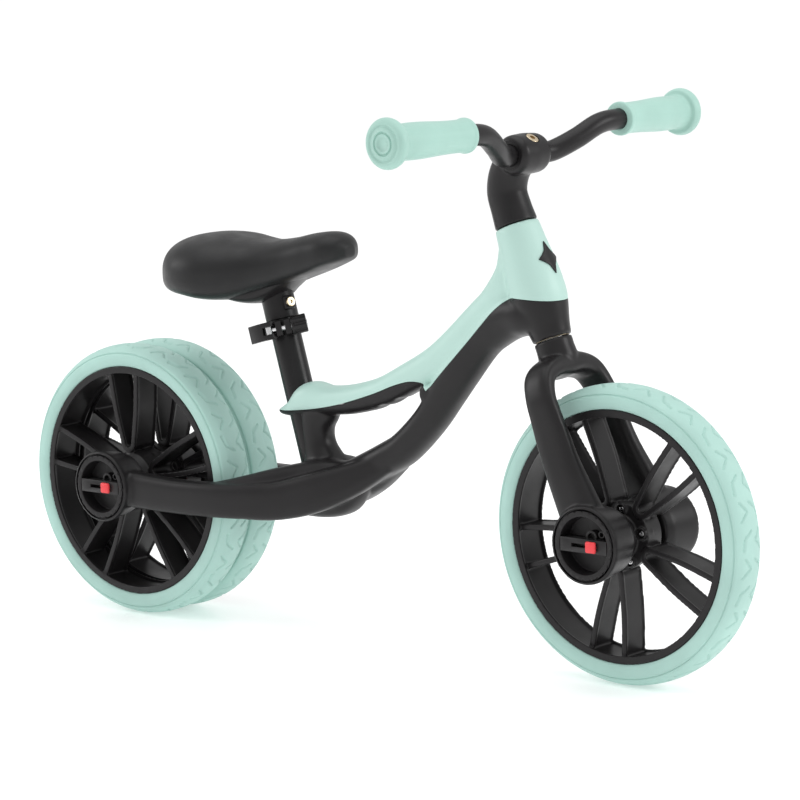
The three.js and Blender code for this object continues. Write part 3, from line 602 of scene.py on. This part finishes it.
def boss_cuts(inner, outer, side):
    """The dial's recess and the axle's bore."""
    bottom = outer - DIAL_RECESS
    beyond = outer + 5
    wall = [(27.8, bottom), (27.8, outer - 3), (29, outer - 2.6), (29, beyond)]
    recess = lathe([(0, bottom), *wall, (0, beyond)], 96)
    pocket_floor = bottom - 4
    pocket = lathe([(11, inner - 5), (20.5, inner - 5), (20.5, pocket_floor), (11, pocket_floor)], 64)
    bore = rod(6.3, inner - 5, bottom - 3)
    return [mirrored(tool, side) for tool in (recess, bore, pocket)]


def head_outline(proud):
    """The head's outline as radii and heights below its top, grown outwards."""
    return [(radius + proud, height - HEAD_LENGTH) for height, radius in spline(HEAD, 40)]


def frame_body():
    """Frame and cover as one moulding, before they are parted."""
    finger_hollows = [shifted(rod(FINGER_R, -30, 30), x, 0, z) for x, z in FINGER_HOLLOWS]
    handle = cut(built("handle", mid_loft(HANDLE, rings=140)), *finger_hollows)
    head = [(0, -HEAD_LENGTH), *head_outline(0), (0, 0)]
    arms = []
    for rows, square in ((ARM, 3.8), (SHOULDER, 2.4)):
        for side in SIDES:
            arms.append(loft([(x, side * y, z, wide, tall, square) for x, y, z, wide, tall in rows]))
    bosses = [moved(boss(REAR_BOSS_INNER, REAR_BOSS_FACE, side), AT_REAR_AXLE) for side in SIDES]
    x, z = HANDLE_CORNER
    corner = shifted(rod(HANDLE_CORNER_R, -14, 14, fillet=2), x, 0, z)
    meshes = [read(handle), moved(lathe(head, 96, "z"), ON_HEAD), mid_loft(BEAM, rings=120),
              mid_loft(MAST, rings=70), mid_loft(KEEL, rings=60), mid_loft(HEAD_WEB, rings=60),
              corner, *arms, *bosses]
    return fused("frame_shell", meshes, 1.3, 14)


def make_frame():
    """Frame and mint cover, parted along the cover's border with a small gap."""
    body = frame_body()
    seat_tube_space = moved(rod(SEAT_TUBE_R + FIT_GAP, -86.3, 90, 72, "z"), ON_POST)
    below, above = -HEAD_LENGTH - 20, 20
    bores = [
        (HEAD_BORE_R, below, above),
        (HEAD_BUSH_R, -HEAD_BUSH_LENGTH, above),
        (HEAD_BUSH_R, below, -HEAD_LENGTH + HEAD_BUSH_LENGTH),
    ]
    head_bores = [moved(rod(radius, start, end, 64, "z"), ON_HEAD) for radius, start, end in bores]
    boss_hollows = []
    for side in SIDES:
        tools = boss_cuts(REAR_BOSS_INNER, REAR_BOSS_FACE, side)
        boss_hollows.extend(moved(tool, AT_REAR_AXLE) for tool in tools)
    cut(body, seat_tube_space, *head_bores)
    cover = combined(copied(body, "cover_shell"), "INTERSECT", cover_region(0))
    cut(body, cover_region(0.5), *boss_hollows)
    shown(body, "frame", "black_plastic", "main_frame", sharp=50)
    shown(cover, "frame", "mint_plastic", "top_cover", sharp=50)


BADGE_HALF = 11
BADGE_DROP = 34  # its middle below the head's top


def make_badge():
    """A plain lozenge let into the front of the head."""
    half = BADGE_HALF
    quarter = [(0, -1.25 * half), (0.3 * half, -0.6 * half), (0.62 * half, -0.3 * half), (half, 0)]
    outline = quarter + [(x, -z) for x, z in quarter[-2::-1]]
    outline += [(-x, z) for x, z in outline[-2:0:-1]]
    lozenge = moved(prism(outline, -40, -12), Matrix.Rotation(math.pi / 2, 4, "Z"))
    badge = built("badge_plate", shifted(lozenge, z=-BADGE_DROP))
    combined(badge, "INTERSECT", lathe(head_outline(1.1) + head_outline(0.2)[::-1], 128, "z"))
    bevelled(badge, 0.25, 2)
    badge.data.transform(scaled(ON_HEAD))
    shown(badge, "frame", "black_plastic", "head_badge")


def scaled(matrix):
    """A matrix in millimetres as one in metres."""
    out = matrix.copy()
    out.translation = matrix.translation * MM
    return out


# ---------- fork, stem, bar and grips ----------
def make_fork():
    """Crown, blades and bosses in one moulding, hollow where steerer and dials go in."""
    x, z = FORK_AXLE
    neck = lathe([(0, -96.1), (15.6, -96.1), (15.4, -103), (16.2, -112), (14, -124), (0, -124)], 64, "z")
    blades = [loft([(bx, side * y, bz, wide, tall, 3) for y, bx, bz, wide, tall in BLADE], 44, 110, (1, 0, 0))
              for side in SIDES]
    bosses = [shifted(boss(FRONT_BOSS_INNER, FRONT_BOSS_FACE, side), x, 0, z) for side in SIDES]
    fork = fused("fork_shell", [neck, *blades, *bosses], 1.2, 8)
    hollows = []
    for side in SIDES:
        hollows.extend(shifted(tool, x, 0, z) for tool in boss_cuts(FRONT_BOSS_INNER, FRONT_BOSS_FACE, side))
    cut(fork, *hollows, rod(STEERER_CLEARANCE_R, -118.3, 0, 64, "z"))
    fork.data.transform(scaled(ON_HEAD))
    shown(fork, "steering", "black_plastic", "fork", sharp=50)


STEM_BOLT_LEAN = 0.95  # radians forward of the steering axis


def stem_bolt_place():
    """The stem bolt's axis, through the middle of the bar's eye."""
    x, z = BAR_EYE
    return Matrix.Translation((x, 0, z)) @ Matrix.Rotation(STEM_BOLT_LEAN, 4, "Y")


def make_stem():
    """The stem with its eye for the bar, and the bolt sunk in the eye."""
    x, z = BAR_EYE
    neck = mid_loft([(sx, sz, wide, tall, 2.1) for sx, sz, wide, tall in STEM], rings=70)
    eye_profile = [(0, -18.5), (13, -18.5), (15.8, -14.5), (16.6, 0), (15.8, 14.5), (13, 18.5), (0, 18.5)]
    eye = shifted(lathe(eye_profile, 72, fillet=2), x, 0, z)
    stem = fused("stem_shell", [neck, eye], 0.8, 12)
    bolt_seat = moved(rod(6, 10.5, 40, 40, "z"), stem_bolt_place())
    groove = lathe([(11.2, 18.2), (11.8, 18.2), (11.8, 22), (11.2, 22)], 64)
    grooves = [shifted(mirrored(groove, side), x, 0, z) for side in SIDES]
    foot = slab((0, 0, -10), (60, 60, 21))
    bar_bore = shifted(rod(BAR_R + FIT_GAP, -30, 30, 64), x, 0, z)
    steerer_bore = rod(STEERER_CLEARANCE_R, -5, 26, 48, "z")
    cut(stem, bar_bore, bolt_seat, steerer_bore, foot, *grooves)
    stem.data.transform(scaled(ON_HEAD))
    shown(stem, "steering", "black_plastic", "stem", sharp=45)

    bolt = built("stem_screw", lathe([(0, 10.9), (5.4, 10.9), (5.4, 16), (0, 16)], 48, "z", fillet=0.8))
    cut(bolt, rod(2.6, 13, 20, 6, "z"))
    bolt.data.transform(scaled(ON_HEAD @ stem_bolt_place()))
    shown(bolt, "steering", "steel", "stem_bolt", sharp=30)
    bolt.data.materials[0] = BRASS_SCREW


def make_bar():
    """The bent bar, its right half the mirror of the left."""
    left = np.array(BAR_HALF, float)
    right = left[:0:-1] * (1, -1, 1)
    rows = [(*point, BAR_R, BAR_R, 2) for point in np.vstack([right, left])]
    tube = loft(rows, 48, 220, lateral=(0, 0, 1))
    shown(built("bar_tube", tube), "steering", "black_plastic", "handlebar")


def make_grips():
    """Soft grips: a shaped body, a rounded flange and rings on the end cap."""
    bore = BAR_R + 0.2
    end = GRIP_LENGTH
    shape = [
        (11.2, 0.6), (13.4, 1.4), (13.8, 4), (13, 7), (12.7, 16), (13, 32), (14, 52), (14.2, 68), (13.7, 80),
        (14.6, 85), (18, 86.8), (19.5, 90.4), (19.2, 93.6), (17.4, 95.8), (15.4, 96.4),
    ]
    body = spline(shape, 110)
    cap_depths = [
        (14.6, 0.9), (13.9, 1.6), (12.6, 1.4), (11.6, 0.3), (9.4, 0.2), (8.8, 1.3), (7.9, 1.3),
        (7.3, 0.2), (5.6, 0.2), (5, 1.1), (0, 0.9),
    ]
    cap = [(radius, end - depth) for radius, depth in cap_depths]
    inside = [(0, end - 7), (bore, end - 7), (bore, 0.4)]
    profile = inside + [tuple(p) for p in body] + cap
    for side in SIDES:
        grip = mirrored(lathe(profile, 96), side)
        turn = Matrix.Rotation(math.radians(1.8) * side, 4, "Z")
        placed = moved(grip, Matrix.Translation((184, side * GRIP_START, 438.8)) @ turn)
        name = HAND[side]
        shown(built(f"{name}_grip_skin", placed), "steering", "mint_rubber", f"{name}_grip", sharp=60)


# ---------- wheels ----------
TREAD_PITCHES = 17
PITCH = 2 * math.pi * WHEEL_R / TREAD_PITCHES
# One pitch of the tread: bent cuts that face each other by turns, as points along and across the tyre.
NEAR_CUTS = [
    [(2, -10.8), (7.5, -9.8), (11.5, -9), (14, -5.6), (16.8, -1.8)],
    [(24.5, -10.5), (28, -7.2), (31.6, -3), (35, -5.4), (39.5, -9)],
]
TREAD_CUTS = NEAR_CUTS + [[(along + PITCH / 2, -across) for along, across in line] for line in NEAR_CUTS]
CUT_HALF = 0.85
CUT_DEPTH = 1.3


def distance_to_cuts(along, across):
    """Distance from each point of the unrolled tread to the nearest cut."""
    nearest = np.full(along.shape, 1e3)
    for cut_line in TREAD_CUTS:
        line = spline(cut_line, 14)
        for start, end in zip(line[:-1], line[1:]):
            for wrap in (-PITCH, 0, PITCH):
                dx, dy = end - start
                px, py = along - start[0] - wrap, across - start[1]
                t = np.clip((px * dx + py * dy) / (dx * dx + dy * dy), 0, 1)
                nearest = np.minimum(nearest, np.hypot(px - t * dx, py - t * dy))
    return nearest


def tyre_mesh():
    """The tyre about Y, its tread cuts pressed into the crown."""
    half = [(101.4, 15.4), (103, 16.8), (106.5, 17.9), (110, 17.8), (112, 17.3), (112.5, 16.4), (113, 15.9),
            (113.6, 16.3), (115.2, 15.4), (117.2, 12.8), (118.7, 10), (119.6, 6.4), (120, 2.4), (120, 0)]
    points = spline(half, 52)
    profile = np.vstack([points, points[-2::-1] * (1, -1)])
    steps = TREAD_PITCHES * 60
    angles = np.linspace(0, 2 * math.pi, steps, endpoint=False)
    radius, across = profile[:, 0], profile[:, 1]
    on_crown = radius > 114.4
    along = (angles * WHEEL_R) % PITCH
    grid_along, grid_across = np.meshgrid(along, across, indexing="ij")
    depth = np.clip(1.5 - distance_to_cuts(grid_along, grid_across) / CUT_HALF, 0, 1) * CUT_DEPTH * on_crown
    r = radius - depth
    turn = angles[:, None]
    rings = np.stack([r * np.cos(turn), np.broadcast_to(across, r.shape), r * np.sin(turn)], -1)
    sides = len(profile)
    index = np.arange(steps * sides).reshape(steps, sides)
    after = np.roll(index, -1, axis=0)
    nxt = np.roll(index, -1, axis=1)
    faces = np.stack([index, nxt, np.roll(after, -1, axis=1), after], -1).reshape(-1, 4)
    return outward_fast(rings.reshape(-1, 3), faces)


def outward_fast(points, quads):
    """Turns the faces of a large mesh of quads outwards."""
    a, b, c = points[quads[:, 0]], points[quads[:, 1]], points[quads[:, 2]]
    volume = np.einsum("ij,ij->i", a, np.cross(b, c)).sum()
    return points, (quads if volume > 0 else quads[:, ::-1]).tolist()


SPOKE_HUB_REACH = 33
SPOKE_RIM_REACH = 97.5
SPOKE_TURN = 8.4
SPOKE_WALL = 4.6
SPOKE_FROM = -11.5  # the spokes' edges on the dished and on the flush side
SPOKE_TO = 14.5
SPOKE_LIP = 2


def spoke_outline(thick):
    """The U of one pair of spokes, its wall of this thickness about the same middle line."""
    middle = SPOKE_TURN - SPOKE_WALL / 2
    points = [(middle, SPOKE_HUB_REACH), (middle + 3.2, 48), (middle + 6.6, 66), (16.3, SPOKE_RIM_REACH)]
    leg = spline(points, 14)

    def edge(offset):
        """The U's line this far outside its middle line."""
        right = [(x + offset, z) for x, z in leg]
        bend = arc((0, SPOKE_HUB_REACH), middle + offset, 180, 360, 18)
        return [(-x, z) for x, z in right[:0:-1]] + bend + right[1:]

    return edge(thick / 2) + edge(-thick / 2)[::-1]


def turned_about_axle(mesh, k, offset=0.0):
    """The mesh turned to the k-th of five places about the axle."""
    return moved(mesh, Matrix.Rotation(2 * math.pi * (k + offset) / 5, 4, "Y"))


SCREW_CIRCLE = 22.1
HUB_FACE = -8.7


def rim_object():
    """The rim moulding about Y: barrel with lips, five pairs of channelled spokes, hub and screw pads."""
    barrel = lathe([(95, -16.2), (101.2, -16.2), (101.2, 16.2), (95, 16.2), (95, 14), (96.8, 13), (96.8, -13),
                    (95, -14)], 180)
    dish = [(0, -17.6), (15.8, -17.6), (18, HUB_FACE - 0.3), (27.5, HUB_FACE)]
    hub = lathe([*dish, (25, 13), (19, 19.6), (0, 19.6)], 72)
    web, flange = spoke_outline(3), spoke_outline(4.9)
    wall = [prism(web, SPOKE_FROM, SPOKE_TO), prism(flange, SPOKE_FROM, SPOKE_FROM + SPOKE_LIP),
            prism(flange, SPOKE_TO - SPOKE_LIP, SPOKE_TO)]
    meshes = [barrel, hub]
    for k in range(5):
        meshes.extend(turned_about_axle(part, k) for part in wall)
        pad = shifted(rod(5, HUB_FACE - 2.6, 0), 0, 0, SCREW_CIRCLE)
        meshes.append(turned_about_axle(pad, k, 0.5))
    rim = fused("front_rim_moulding", meshes, 0.85, 3)
    bore = lathe([(0, -20), (11.2, -20), (11.2, -10), (8, -10), (8, 12), (11.2, 12), (11.2, 22), (0, 22)], 48)
    well = shifted(rod(3.5, HUB_FACE - 5, HUB_FACE + 0.6, 32), 0, 0, SCREW_CIRCLE)
    return cut(rim, bore, *[turned_about_axle(well, k, 0.5) for k in range(5)])


def hub_screws_object():
    """Five cross-head screws on their pads, about Y, facing the dished side."""
    top = HUB_FACE - 1.6
    head = [(0, HUB_FACE + 0.8), (2.6, HUB_FACE + 0.8), (2.6, top + 0.9), (1.9, top + 0.2), (0, top)]
    screw = built("screw", lathe(head, 32, fillet=0.3))
    cut(screw, slab((0, top, 0), (3, 2, 0.7)), slab((0, top, 0), (0.7, 2, 3)))
    screw_mesh = shifted(read(screw), z=SCREW_CIRCLE)
    return built("front_hub_screws", *[turned_about_axle(screw_mesh, k, 0.5) for k in range(5)])


WHEELS = {
    # name: x, y, spoke turn in degrees, turned round
    "front": (HALF_BASE, 0, 43, False),
    "right_rear": (-HALF_BASE, -REAR_TRACK, 3.5, True),
    "left_rear": (-HALF_BASE, REAR_TRACK, 3.5, False),
}


def make_wheels():
    """Three wheels alike that share their meshes, each turned as it stands at rest."""
    patterns = [
        # piece, slot, CAD nodes, shape
        ("tyre_skin", "mint_tyre", ["tyre"], built("front_tyre_skin", tyre_mesh())),
        ("rim_moulding", "black_plastic", ["rim"], rim_object()),
        ("hub_screws", "steel", [], hub_screws_object()),
    ]
    for wheel, (x, y, spokes, turned) in WHEELS.items():
        turn = Matrix.Rotation(math.radians(spokes), 4, "Y")
        if turned:
            turn = Matrix.Rotation(math.pi, 4, "Z") @ turn
        place = Matrix.Translation((x * MM, y * MM, WHEEL_R * MM)) @ turn
        for piece, slot, nodes, pattern in patterns:
            obj = pattern if wheel == "front" else copied(pattern, f"{wheel}_{piece}")
            obj.matrix_world = place
            shown(obj, f"{wheel}_wheel", slot, *[f"{wheel}_{node}" for node in nodes], sharp=50)


# ---------- dials and latches ----------
DISH_FLOOR = -12
DIAL_TICKS = 24


def dial_object(name):
    """A dial facing +Y: a ring with ticks, a deep dish, a slotted crossbar and small mould features."""
    profile = [(0, -14.2), (DIAL_R, -14.2), (DIAL_R, 0), (23, 0), (22, DISH_FLOOR), (0, DISH_FLOOR)]
    dial = built(name, lathe(profile, 96, fillet=0.7))
    bar = slab((0, -6.4, 0), (44.4, 12.4, 11))
    arch = built("arch", shifted(rod(5.2, DISH_FLOOR, -5.5, 40), 4, 0, 6.5))
    cut(arch, shifted(rod(3.4, -9, -5, 40), 4, 0, 6.5))
    tube = lathe([(1.7, DISH_FLOOR), (2.9, DISH_FLOOR), (2.9, -6), (1.7, -6)], 32)
    combined(dial, "UNION", bar, read(arch), shifted(tube, 13.5, 0, 9.2))
    ticks = []
    for k in range(DIAL_TICKS):
        tick = slab((DIAL_R, 0, 0), (1.6, 1.6, 2.6))
        ticks.append(moved(tick, Matrix.Rotation(2 * math.pi * k / DIAL_TICKS, 4, "Y")))
    holes = [shifted(rod(1.8, -13, -4, 24), 13.5, 0, 9.2), slab((15.6, -11, -8.6), (3.6, 4, 1.9))]
    slot = slab((0.6, -3, 0), (24.2, 8, 3))
    cut(dial, slot, *holes, *ticks)
    return bevelled(dial, 0.3, 2, 50)


def latch_object(name):
    """The red latch: a rounded thumb block with a tongue down in the slot."""
    latch = built(name, slab((8.5, 1.7, 0), (9.5, 3.2, 9)))
    bevelled(latch, 1.5, 4)
    return combined(latch, "UNION", slab((8.5, -2, 0), (7, 5.6, 2.5)))


def mirror_data(obj):
    """Mirrors an object's mesh in Y, its faces still outwards."""
    obj.data.transform(Matrix.Scale(-1, 4, (0, 1, 0)))
    obj.data.flip_normals()
    return obj


def make_dials():
    """A dial and its latch in each of the four bosses."""
    ends = [("front", HALF_BASE, FRONT_BOSS_FACE), ("rear", -HALF_BASE, REAR_BOSS_FACE)]
    kinds = [("dial", "black_plastic", dial_object), ("latch", "red_plastic", latch_object)]
    for side in SIDES:
        for end, x, face in ends:
            corner = f"{HAND[side]}_{end}"
            for kind, slot, maker in kinds:
                obj = maker(f"{corner}_{kind}_part")
                if side < 0:
                    mirror_data(obj)
                obj.data.transform(Matrix.Translation((x * MM, side * face * MM, WHEEL_R * MM)))
                shown(obj, f"{corner}_{kind}", slot, f"{corner}_{kind}", sharp=35)


# ---------- seat tube, clamp and saddle ----------
def sleeve(inner, outer, start, end, sides=96, fillet=0.0):
    """A tube about Z between two heights."""
    return lathe([(inner, start), (outer, start), (outer, end), (inner, end)], sides, "z", fillet)


def make_seat_tube():
    """The slit seat tube and the post that slides in it."""
    bore = SEAT_POST_R + POST_CLEARANCE
    tube = built("seat_tube_skin", sleeve(bore, SEAT_TUBE_R, -86, SEAT_TUBE_TOP, fillet=0.3))
    slit = moved(slab((13, 0, SEAT_TUBE_TOP - 6), (10, 2, 14)), Matrix.Rotation(math.radians(-50), 4, "Z"))
    cut(tube, slit)
    tube.data.transform(scaled(ON_POST))
    shown(tube, "frame", "painted_tube", "seat_tube")
    post = built("seat_post_skin", sleeve(9.2, SEAT_POST_R, -45, 97))
    post.data.transform(scaled(ON_POST))
    shown(post, "saddle", "painted_tube", "seat_post")


NUT_FLUTES = 8


def in_clamp(obj, body, slot, *nodes, sharp=40):
    """Shows a piece built in the clamp's own frame, its bolt's axis along Y."""
    obj.data.transform(scaled(ON_CLAMP))
    return shown(obj, body, slot, *nodes, sharp=sharp)


def make_clamp():
    """The clamp: band, thumb nut, cross barrel and lever."""
    out = CLAMP_BOLT_OUT
    band = built("clamp_ring", rod(16.4, -6, 6, 72, "z"))
    combined(band, "UNION", slab((17, 0, 0), (18, 13, 12)))
    bolt_hole = shifted(rod(2.8, -20, 20, 32), out)
    nut_seat = shifted(rod(8.3, 6.6, 30), out)
    tube_space = rod(SEAT_TUBE_R + FIT_GAP, -20, 20, 72, "z")
    cut(band, tube_space, slab((20, 0, 0), (22, 3, 30)), bolt_hole, nut_seat)
    in_clamp(bevelled(band, 0.8, 3), "frame", "black_plastic", "clamp_band")

    nut_shape = lathe([(2.8, 6.9), (8, 6.9), (8, 20), (2.8, 20)], 72, fillet=0.8)
    nut = built("clamp_thumb_nut", shifted(nut_shape, out))
    flutes = []
    for k in range(NUT_FLUTES):
        turn = 2 * math.pi * k / NUT_FLUTES
        flutes.append(shifted(rod(1.5, 9, 25, 20), out + 8.3 * math.cos(turn), 0, 8.3 * math.sin(turn)))
    in_clamp(cut(nut, *flutes), "frame", "black_plastic", "clamp_nut", sharp=30)

    barrel = built("clamp_cross_barrel", shifted(rod(4, -5.8, 5.8, 48, "z", fillet=0.6), out, BARREL_Y))
    in_clamp(cut(barrel, shifted(rod(2.7, -18, -6, 32), out)), "frame", "steel", "clamp_barrel", sharp=30)

    edge = [*arc((0, 0), 6, 0, 153, 16), *curve((-5.3, 2.7), (-3.5, -6), (-8, -10)), (-11, -15), (-7, -17),
            *curve((-7, -17), (4.5, -10), (6, 0))[:-1]]
    blade = skin([[(x, y, z) for x, y in edge] for z in (-7.4, 7.4)])
    lever = built("clamp_thumb_lever", blade)
    cut(lever, rod(4.15, -20, 20, 48, "z"), slab((2, 0.5, 0), (13, 11, 6.4)))
    bevelled(lever, 0.6, 3)
    lever.data.transform(Matrix.Translation((out * MM, BARREL_Y * MM, 0)))
    in_clamp(lever, "clamp_lever", "black_plastic", "clamp_lever")


def curve(start, middle, end, steps=8):
    """Points of a quadratic curve, without its first."""
    out = []
    for k in range(1, steps + 1):
        t = k / steps
        weights = ((1 - t) ** 2, 2 * t * (1 - t), t**2)
        out.append(tuple(np.dot(weights, (start, middle, end))))
    return out


def pad_mesh():
    """The saddle's crowned pad: round above, fuller at the skirt, tucked in underneath."""
    rows = spline(PAD, 110)
    angles = np.linspace(0, 2 * math.pi, 72, endpoint=False)
    rings = []
    for x, wide, top, foot in rows:
        belly = foot + 0.42 * (top - foot)
        ring = []
        for a in angles:
            c, s = math.cos(a), math.sin(a)
            square = 2.3 if s > 0 else 3.4
            across = math.copysign(abs(c) ** (2 / square), c)
            rise = abs(s) ** (2 / square)
            z = belly + rise * (top - belly) if s > 0 else belly - rise * (belly - foot)
            ring.append((x, wide * across, z))
        rings.append(ring)
    return skin(rings)


def make_saddle():
    """The padded saddle, its base shell, and the collar with its screw."""
    socket = moved(rod(14.5, 0, 98.3, 64, "z"), ON_POST)
    base_rows = [(x, 0, z, wide, tall, 2.4) for x, wide, tall, z in BASE]
    grown_rows = [(x, 0, z, wide + 0.5, tall + 0.5, 2.4) for x, wide, tall, z in BASE]
    pad = cut(fused("saddle_cushion", [pad_mesh()], 1.5, 4), loft(grown_rows, 48, 70), socket)
    shown(pad, "saddle", "saddle_skin", "saddle_pad", sharp=50)
    base = cut(built("saddle_shell", loft(base_rows, 48, 70)), socket)
    shown(base, "saddle", "black_plastic", "saddle_base", sharp=50)

    start, end = SEAT_TUBE_TOP + 1.5, 98
    turn = Matrix.Rotation(math.radians(-15), 4, "Z")
    to_front = Matrix.Translation((0, 0, start + 12)) @ Matrix.Rotation(math.pi / 2, 4, "Y")
    inner, outer = SEAT_POST_R + FIT_GAP, 14.2
    collar = built("saddle_sleeve", sleeve(inner, outer, start, end, 72, fillet=0.6))
    lug = bevelled(built("lug", slab((outer, 0, start + 12), (5, 9, 12))), 1.2)
    combined(collar, "UNION", read(lug))
    hole = moved(rod(2.6, 0, 40, 32, "z"), to_front)
    cut(collar, rod(inner, 0, 130, 72, "z"), hole)
    collar.data.transform(scaled(ON_POST @ turn))
    shown(collar, "saddle", "black_plastic", "saddle_collar")

    shank_and_head = [(0, 11.6), (2.3, 11.6), (2.3, 17), (4, 17), (4, 19.4), (0, 19.4)]
    screw = built("sleeve_screw", lathe(shank_and_head, 36, "z", fillet=0.3))
    cut(screw, rod(1.8, 18, 25, 6, "z"))
    screw.data.transform(scaled(ON_POST @ turn @ to_front))
    shown(screw, "saddle", "steel", "collar_screw", sharp=30)
    screw.data.materials[0] = BRASS_SCREW


# ---------- what stays from the CAD ----------
def dress_cad_nodes():
    """The inner pieces keep their CAD shape and get the same materials."""
    steel = ["rear_axle", "front_axle", "front_axle_washer", "steerer_tube", "clamp_bolt"]
    bushes = ["upper_head_bush", "lower_head_bush"]
    bushes += [f"{wheel}_{end}_bush" for wheel in WHEELS for end in ("inner", "outer")]
    for names, slot in ((steel, "steel"), (bushes, "bush")):
        for name in names:
            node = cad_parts[name]
            node.data.materials.clear()
            node.data.materials.append(MATERIALS[slot])


# ---------- studio ----------
def make_floor():
    """A pale floor, faintly lit from itself so that it stays white."""
    bpy.ops.mesh.primitive_plane_add(size=80)
    floor = bpy.context.object
    floor.name = "studio_floor"
    n = Nodes("studio_floor")
    shade = n.tinted(n.ranged(n.noise(0.8, 2), 0, 1), (0.93, 0.93, 0.93), (0.95, 0.95, 0.95))
    n.link(shade, n.shader, "Base Color")
    n.link(n.ranged(n.noise(3, 2), 0.22, 0.26), n.shader, "Roughness")
    n.shader.inputs["Specular IOR Level"].default_value = 0.35
    n.shader.inputs["Emission Color"].default_value = (1, 1, 1, 1)
    n.shader.inputs["Emission Strength"].default_value = 0.32
    floor.data.materials.append(n.material)


def make_light(name, location, target, size, power):
    """A square panel that faces the target."""
    data = bpy.data.lights.new(name, "AREA")
    data.shape = "SQUARE"
    data.size = size
    data.energy = power
    light = bpy.data.objects.new(name, data)
    light.location = location
    light.rotation_euler = (Vector(target) - Vector(location)).to_track_quat("-Z", "Y").to_euler()
    bpy.context.scene.collection.objects.link(light)


def make_studio():
    """Floor, white surroundings and three soft panels."""
    make_floor()
    world = bpy.data.worlds.new("studio")
    world.use_nodes = True
    background = world.node_tree.nodes["Background"]
    background.inputs["Color"].default_value = (1, 1, 1, 1)
    background.inputs["Strength"].default_value = 0.72
    bpy.context.scene.world = world
    middle = (0, 0, 0.25)
    make_light("overhead", (0.1, -0.2, 2.6), middle, 2.6, 30)
    make_light("left_panel", (-2.4, -1.4, 1.3), middle, 1.3, 17)
    make_light("right_panel", (2.6, 1.2, 1.4), middle, 1.2, 24)
    bpy.context.scene.view_settings.view_transform = "Standard"


CAMERA = {"azimuth": 40.093, "elevation": 8.600, "roll": -1.479, "distance": 2.658, "lens": 144.3105}
CAMERA_TARGET = Vector((0.0278, 0, 0.2092))


def make_camera():
    """A camera that looks at the target from the given side."""
    azimuth, elevation, roll = (math.radians(CAMERA[k]) for k in ("azimuth", "elevation", "roll"))
    reach = math.cos(elevation)
    back = Vector((math.sin(azimuth) * reach, -math.cos(azimuth) * reach, math.sin(elevation)))
    level = Vector((math.cos(azimuth), math.sin(azimuth), 0))
    upright = back.cross(level)
    right = math.cos(roll) * level + math.sin(roll) * upright
    up = math.cos(roll) * upright - math.sin(roll) * level
    data = bpy.data.cameras.new("camera")
    data.sensor_width = 36
    data.lens = CAMERA["lens"]
    camera = bpy.data.objects.new("camera", data)
    camera.matrix_world = Matrix.Translation(CAMERA_TARGET + back * CAMERA["distance"]) @ Matrix(
        (right, up, back)).transposed().to_4x4()
    bpy.context.scene.collection.objects.link(camera)
    bpy.context.scene.camera = camera


make_camera()
make_studio()
make_frame()
make_badge()
make_fork()
make_stem()
make_bar()
make_grips()
make_wheels()
make_dials()
make_seat_tube()
make_clamp()
make_saddle()
dress_cad_nodes()
